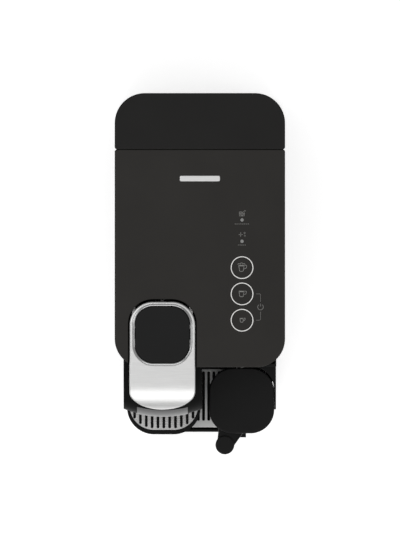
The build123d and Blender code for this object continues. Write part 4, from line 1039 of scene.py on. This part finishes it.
@dataclass
class Controls:
    """Round buttons with lit rings, status lights and their symbols."""

    x: float = 37.85
    rows: tuple[float, float, float] = (5.9, -17.7, -41.3)
    lights: tuple[float, float] = (48.7, 29.6)
    top: float = 254.5
    radius: float = 9.0
    play: float = 0.3
    ring: float = 0.8
    stem_bottom: float = 247.1
    cup_sizes: tuple[float, float, float] = (5.4, 5.0, 3.6)
    milk_cup_drop: float = 0.6
    cup_stroke: float = 0.5
    symbol_stroke: float = 0.46
    bracket_stroke: float = 0.3

    def cap_profile(self) -> np.ndarray:
        """A button's profile: stem, underside, wall, rounded rim and a shallow dish.

        The dish falls by a quarter of a millimetre as one minus the square of the radius.

        Returns:
            Rows of radius and height.
        """
        turn = np.linspace(0, np.pi / 2, 7)
        rim = np.column_stack(
            [self.radius - 0.5 + 0.5 * np.cos(turn), self.top - 0.4 + 0.5 * np.sin(turn)]
        )
        share = np.linspace(0.93, 0.03, 14)
        dish = np.column_stack([share * self.radius, self.top + 0.1 - 0.25 * (1 - share**2)])
        foot = [
            (1.7, self.stem_bottom),
            (2.0, self.stem_bottom + 0.3),
            (2.0, self.top - 4.2),
            (7.9, self.top - 4.0),
            (7.9, self.top - 3.1),
            (self.radius, self.top - 3.0),
        ]
        return np.vstack([foot, rim, dish])

    def ring_profile(self) -> np.ndarray:
        """A ring's closed section: straight walls and a half-round crown.

        Returns:
            Rows of radius and height.
        """
        inner = self.radius + self.play + 0.05
        turn = np.linspace(0, np.pi, 9)
        crown = np.column_stack(
            [
                inner + self.ring / 2 * (1 + np.cos(turn)),
                self.top - 0.1 + 0.25 * np.sin(turn),
            ]
        )
        return np.vstack([[(inner, self.top - 3.0), (inner + self.ring, self.top - 3.0)], crown])

    def cup(self, x: float, y: float, size: float) -> list[np.ndarray]:
        """Strokes of a cup: a thick rim, a tapering bowl and a squared handle.

        Args:
            x: the middle's x.
            y: the middle's y.
            size: the cup's height.

        Returns:
            Plan paths.
        """
        half = np.array([(0.22, -0.5), (0.3, -0.44), (0.46, 0.46)])
        bowl = np.vstack([half[::-1] * (-1, 1), half])
        rim = np.array([(-0.52, 0.5), (0.0, 0.5), (0.52, 0.5)])
        handle = np.array([(0.46, 0.5), (0.84, 0.5), (0.9, 0.4), (0.8, 0.02), (0.38, -0.12)])
        paths = (bowl, rim, rim - (0.0, 0.11), handle)
        return [np.array([x - 0.1 * size, y]) + size * path for path in paths]

    def foam(self, x: float, y: float, size: float) -> list[np.ndarray]:
        """Three bumps of foam above the cup's rim, each half an ellipse.

        Args:
            x: the cup's middle along x.
            y: the cup's middle along y.
            size: the cup's height.

        Returns:
            Plan paths.
        """
        turn = np.linspace(np.pi, 0, 9)
        bumps = [
            np.column_stack([c + 0.2 * np.cos(turn), 0.62 + h * np.sin(turn)])
            for c, h in ((-0.4, 0.16), (0.0, 0.3), (0.4, 0.16))
        ]
        return [np.array([x - 0.1 * size, y]) + size * path for path in bumps]

    def star(self, x: float, y: float, size: float) -> list[np.ndarray]:
        """Two crossed strokes that make a small sparkle.

        Args:
            x: the middle's x.
            y: the middle's y.
            size: half a stroke's length.

        Returns:
            Plan paths.
        """
        line = np.linspace(-1, 1, 5)
        zero = np.zeros(5)
        return [
            np.array([x, y]) + size * np.column_stack(pair) for pair in ((line, zero), (zero, line))
        ]

    def dashes(self, y: float, length: float, count: int) -> list[np.ndarray]:
        """A row of plain dashes.

        Args:
            y: the row's y.
            length: the row's length.
            count: how many dashes.

        Returns:
            Plan paths.
        """
        pitch = length / count
        starts = self.x - length / 2 + pitch * np.arange(count)
        return [np.array([(s, y), (s + pitch * 0.4, y), (s + pitch * 0.72, y)]) for s in starts]

    def marks(self) -> list[np.ndarray]:
        """The symbols printed on the panel beside the lights and the buttons.

        Returns:
            Plan paths.
        """
        x, (high, low) = self.x, self.lights
        turn = np.linspace(np.radians(125), np.radians(415), 26)
        power_x, power_y = x + 16.6, (self.rows[1] + self.rows[2]) / 2
        wave = np.linspace(0, 1, 14)
        scale = [
            np.column_stack([x - 2.1 + 4.0 * wave, high + 4.4 + k + 0.35 * np.sin(9 * wave)])
            for k in (0.0, 1.3, 2.6)
        ]
        box = np.array([(-2.4, 7.6), (-2.4, 3.6), (2.1, 3.6), (2.1, 6.6)]) + (x, high)
        return [
            *scale,
            box,
            *self.star(x + 2.6, high + 8.2, 0.7),
            *self.star(x - 1.2, low + 6.0, 1.9),
            *self.star(x + 2.3, low + 7.4, 1.0),
            *self.star(x + 2.6, low + 4.9, 0.8),
            *self.dashes(high - 3.6, 13.4, 8),
            *self.dashes(low - 3.4, 7.6, 5),
            turned(turn, 2.5, power_x, power_y),
            np.array([(power_x, power_y + up) for up in (0.5, 1.8, 3.1)]),
        ]

    def bracket(self) -> list[np.ndarray]:
        """Thin lines that tie the two lower buttons to the power symbol.

        Returns:
            Plan paths.
        """
        near, far = self.x + 12.6, self.x + 16.6
        middle = (self.rows[1] + self.rows[2]) / 2
        (high, low), corner = self.rows[1:], 0.6
        upper = [(near, high), (far - corner, high), (far, high - corner), (far, middle + 4.6)]
        lower = [(far, middle - 4.2), (far, low + corner), (far - corner, low), (near, low)]
        return [np.array(upper), np.array(lower)]

    def build(self, wardrobe: Wardrobe) -> None:
        """Builds the caps, rings and symbols.

        Args:
            wardrobe: gives the materials.
        """
        nodes = ("milk_button", "lungo_button", "espresso_button")
        bodies = ("milk_key", "lungo_key", "espresso_key")
        for y, node, body, size in zip(self.rows, nodes, bodies, self.cup_sizes):
            cap = Builder(node.replace("_button", "_cap")).loft(
                profile_turned(self.cap_profile(), self.x, y, 120)
            )
            dress(cap.build(body, "insert_black", (node,)), wardrobe.material("panel_black"))
            mark = Builder(node.replace("_button", "_symbol"))
            drop = self.milk_cup_drop if node == "milk_button" else 0.0
            strokes = self.cup(self.x, y - drop, size)
            if node == "milk_button":
                strokes += self.foam(self.x, y - drop, size)
            for path in strokes:
                mark.loft(ribbon(path, self.cup_stroke, self.top - 0.2, self.top + 0.06))
            dress(mark.build(body, "lens"), wardrobe.extra(BRIGHT_PRINT))
        rings = Builder("button_halos")
        for y in self.rows:
            rings.loft(profile_turned(self.ring_profile(), self.x, y, 144), Ends.JOINED)
        dress(
            rings.build("machine", "white_light", ("button_light_rings",)),
            wardrobe.material("white_light"),
        )
        prints = Builder("panel_symbols")
        for path in self.marks():
            prints.loft(ribbon(path, self.symbol_stroke, self.top - 0.05, self.top + 0.03))
        dress(prints.build("machine", "lens"), wardrobe.extra(PRINT))
        lines = Builder("panel_bracket")
        for path in self.bracket():
            lines.loft(ribbon(path, self.bracket_stroke, self.top - 0.05, self.top + 0.02))
        dress(lines.build("machine", "lens"), wardrobe.extra(PRINT))


@dataclass
class MilkSpout:
    """The swivelling arm with its round knob and nozzle."""

    hub: tuple[float, float] = (37.65, -114.15)
    knob: tuple[float, float] = (22.55, -154.1)
    hub_radius: float = 18.0
    arm_radius: float = 7.2
    knob_radius: float = 8.5
    low: float = 166.0
    high: float = 176.0
    nozzle_low: float = 141.0
    nozzle_radius: float = 5.0

    def arm_outline(self) -> np.ndarray:
        """The plan: two circles joined by their common tangents.

        A tangent leaves each circle at the angle whose cosine is the difference of the radii
        over the distance between the centres, measured from the line of centres.

        Returns:
            Evenly spaced points.
        """
        a, b = np.array(self.hub), np.array(self.knob)
        away = np.arctan2(*(b - a)[::-1])
        lean = np.arccos((self.hub_radius - self.arm_radius) / np.linalg.norm(b - a))
        big = turned(np.linspace(away + lean, away + 2 * np.pi - lean, 120), self.hub_radius, *a)
        small = turned(np.linspace(away - lean, away + lean, 60), self.arm_radius, *b)
        return even(np.vstack([big, small]), 200)

    def knob_profile(self) -> np.ndarray:
        """The knob's profile: a hollow nozzle, a taper, a soft rim and a flat crown.

        Returns:
            Rows of radius and height.
        """
        turn = np.linspace(0, np.pi / 2, 8)
        r, top = self.knob_radius, self.high
        rim = np.column_stack([r - 1.2 + 1.2 * np.cos(turn), top - 1.2 + 1.2 * np.sin(turn)])
        share = np.linspace(0.82, 0.02, 8)
        crown = at_height(share[:, None] * r, top)
        low, n = self.nozzle_low, self.nozzle_radius
        nozzle = [
            (0.3, low + 9),
            (2.4, low + 9),
            (2.5, low + 0.4),
            (3.0, low),
            (n - 0.6, low),
            (n, low + 0.6),
            (n + 0.5, low + 6),
            (r - 1.2, self.low - 2.5),
            (r - 0.3, self.low - 0.5),
            (r, self.low + 1.0),
        ]
        return np.vstack([nozzle, rim, crown])

    def build(self, wardrobe: Wardrobe) -> None:
        """Builds the arm with its hub, and the knob with its nozzle.

        Args:
            wardrobe: gives the materials.
        """
        plan = self.arm_outline()
        steps = quarter(0.0, self.low, 1.0, False) + quarter(0.0, self.high - 1.6, 2.6, True)
        arm = Builder("spout_arm").loft(stacked(plan, steps))
        inside, foot, top = 0.4, 160.2, self.low + 0.6
        boss = np.array(
            [(inside, foot), (8.2, foot), (8.6, foot + 0.5), (8.6, top), (inside, top)]
        )
        arm.loft(profile_turned(boss, *self.hub))
        dress(arm.build("spout", "gloss_black", ("milk_spout",)), wardrobe.material("gloss_black"))
        knob = Builder("spout_knob").loft(profile_turned(self.knob_profile(), *self.knob))
        dress(knob.build("spout", "gloss_black", ("milk_spout",)), wardrobe.material("cap_black"))


# ---------------------------------------------------------------- stage


@dataclass
class Studio:
    """White sweep, soft lights and a camera that looks straight down."""

    plane_z: float = 0.2545
    seen_height: float = 0.4785
    aim: tuple[float, float] = (0.0001, 0.0069)
    lens: float = 1200.0
    sensor: float = 36.0
    floor_half: float = 3.0
    floor_rows: int = 9
    white_reach: float = 0.32
    grey_reach: float = 1.0
    horizon: float = 0.34
    zenith: float = 0.78

    def floor(self) -> None:
        """A wide flat floor, as a grid with z = 0 everywhere."""
        side = np.linspace(-self.floor_half, self.floor_half, self.floor_rows)
        x, y = np.meshgrid(side, side)
        points = np.column_stack([x.ravel(), y.ravel(), np.zeros(x.size)])
        index = np.arange(x.size).reshape(x.shape)
        faces = np.stack(
            [index[:-1, :-1], index[:-1, 1:], index[1:, 1:], index[1:, :-1]], axis=-1
        ).reshape(-1, 4)
        mesh = bpy.data.meshes.new("studio_floor")
        mesh.from_pydata(points.tolist(), [], faces.tolist())
        made = bpy.data.objects.new("studio_floor", mesh)
        bpy.context.scene.collection.objects.link(made)
        dress(made, self.floor_finish())

    def floor_finish(self) -> bpy.types.Material:
        """White near the machine, fading to a pale grey a metre away.

        Returns:
            The floor's material.
        """
        g = Graph("studio_white")
        _, rounded = g.edge(0.001, 0.0, 0.0)
        away = g.node("ShaderNodeVectorMath", operation="LENGTH")
        g.join(g.place, away.inputs[0])
        fade = g.spread(away.outputs["Value"], 0.0, 1.0, self.white_reach, self.grey_reach)
        near, far = (0.9, 0.9, 0.9), (0.42, 0.42, 0.42)
        colour = g.tint(fade, near, far)
        glow = g.tint(fade, (0.55, 0.55, 0.55), (0.12, 0.12, 0.12))
        cloud = g.noise(3.0, 2.0)
        made = g.finish(colour, g.spread(cloud, 0.8, 0.9), rounded, Emission_Strength=1.0)
        shader = next(n for n in g.tree.nodes if n.type == "BSDF_PRINCIPLED")
        g.join(glow, shader.inputs["Emission Color"])
        return made

    def light(
        self,
        name: str,
        where: tuple[float, float, float],
        size: tuple[float, float],
        power: float,
    ) -> None:
        """Adds a soft box that faces the machine.

        Args:
            name: the light's name.
            where: its place, in metres.
            size: its width and height, in metres.
            power: its power, in watts.
        """
        data = bpy.data.lights.new(name, "AREA")
        data.shape = "RECTANGLE"
        data.size, data.size_y = size
        data.energy = power
        made = bpy.data.objects.new(name, data)
        bpy.context.scene.collection.objects.link(made)
        made.location = where
        aim = Vector((0.0, 0.0, 0.15)) - made.location
        made.rotation_mode = "QUATERNION"
        made.rotation_quaternion = aim.to_track_quat("-Z", "Y")

    def world(self) -> None:
        """A white surround, brighter overhead than at the horizon."""
        world = bpy.data.worlds.new("studio")
        bpy.context.scene.world = world
        world.use_nodes = True
        tree = world.node_tree
        place = tree.nodes.new("ShaderNodeTexCoord")
        parts = tree.nodes.new("ShaderNodeSeparateXYZ")
        lift = tree.nodes.new("ShaderNodeMapRange")
        tree.links.new(place.outputs["Generated"], parts.inputs[0])
        tree.links.new(parts.outputs["Z"], lift.inputs["Value"])
        lift.inputs["From Min"].default_value = 0.6
        lift.inputs["From Max"].default_value = 0.97
        lift.inputs["To Min"].default_value = self.horizon
        lift.inputs["To Max"].default_value = self.zenith
        back = tree.nodes["Background"]
        back.inputs["Color"].default_value = (1.0, 1.0, 1.0, 1.0)
        tree.links.new(lift.outputs["Result"], back.inputs["Strength"])

    def camera(self) -> None:
        """A long lens that looks straight down, with the machine's rear at the top."""
        data = bpy.data.cameras.new("view")
        data.lens = self.lens
        data.sensor_width = self.sensor
        away = self.seen_height * self.lens / self.sensor
        data.clip_start, data.clip_end = 0.1, away * 3
        made = bpy.data.objects.new("view", data)
        bpy.context.scene.collection.objects.link(made)
        made.location = (*self.aim, self.plane_z + away)
        bpy.context.scene.camera = made

    def build(self) -> None:
        """Builds the floor, the lights, the surround and the camera."""
        self.floor()
        self.world()
        self.light("front_box", (0.0, -1.95, 1.75), (2.4, 2.0), 23.0)
        self.light("left_box", (-0.75, 0.25, 1.15), (0.5, 0.7), 2.4)
        self.light("side_box", (1.8, -0.3, 1.4), (0.9, 1.4), 4.0)
        self.camera()
        settings = bpy.context.scene.view_settings
        settings.view_transform = "Standard"
        settings.look = "None"


def main() -> None:
    """Builds every sub-assembly in order."""
    logging.basicConfig(level=logging.INFO)
    wardrobe = Wardrobe()
    wardrobe.dress_nodes(frame["record"])
    Lever().build(wardrobe)
    Controls().build(wardrobe)
    MilkSpout().build(wardrobe)
    Studio().build()


if __name__ == "__main__":
    main()
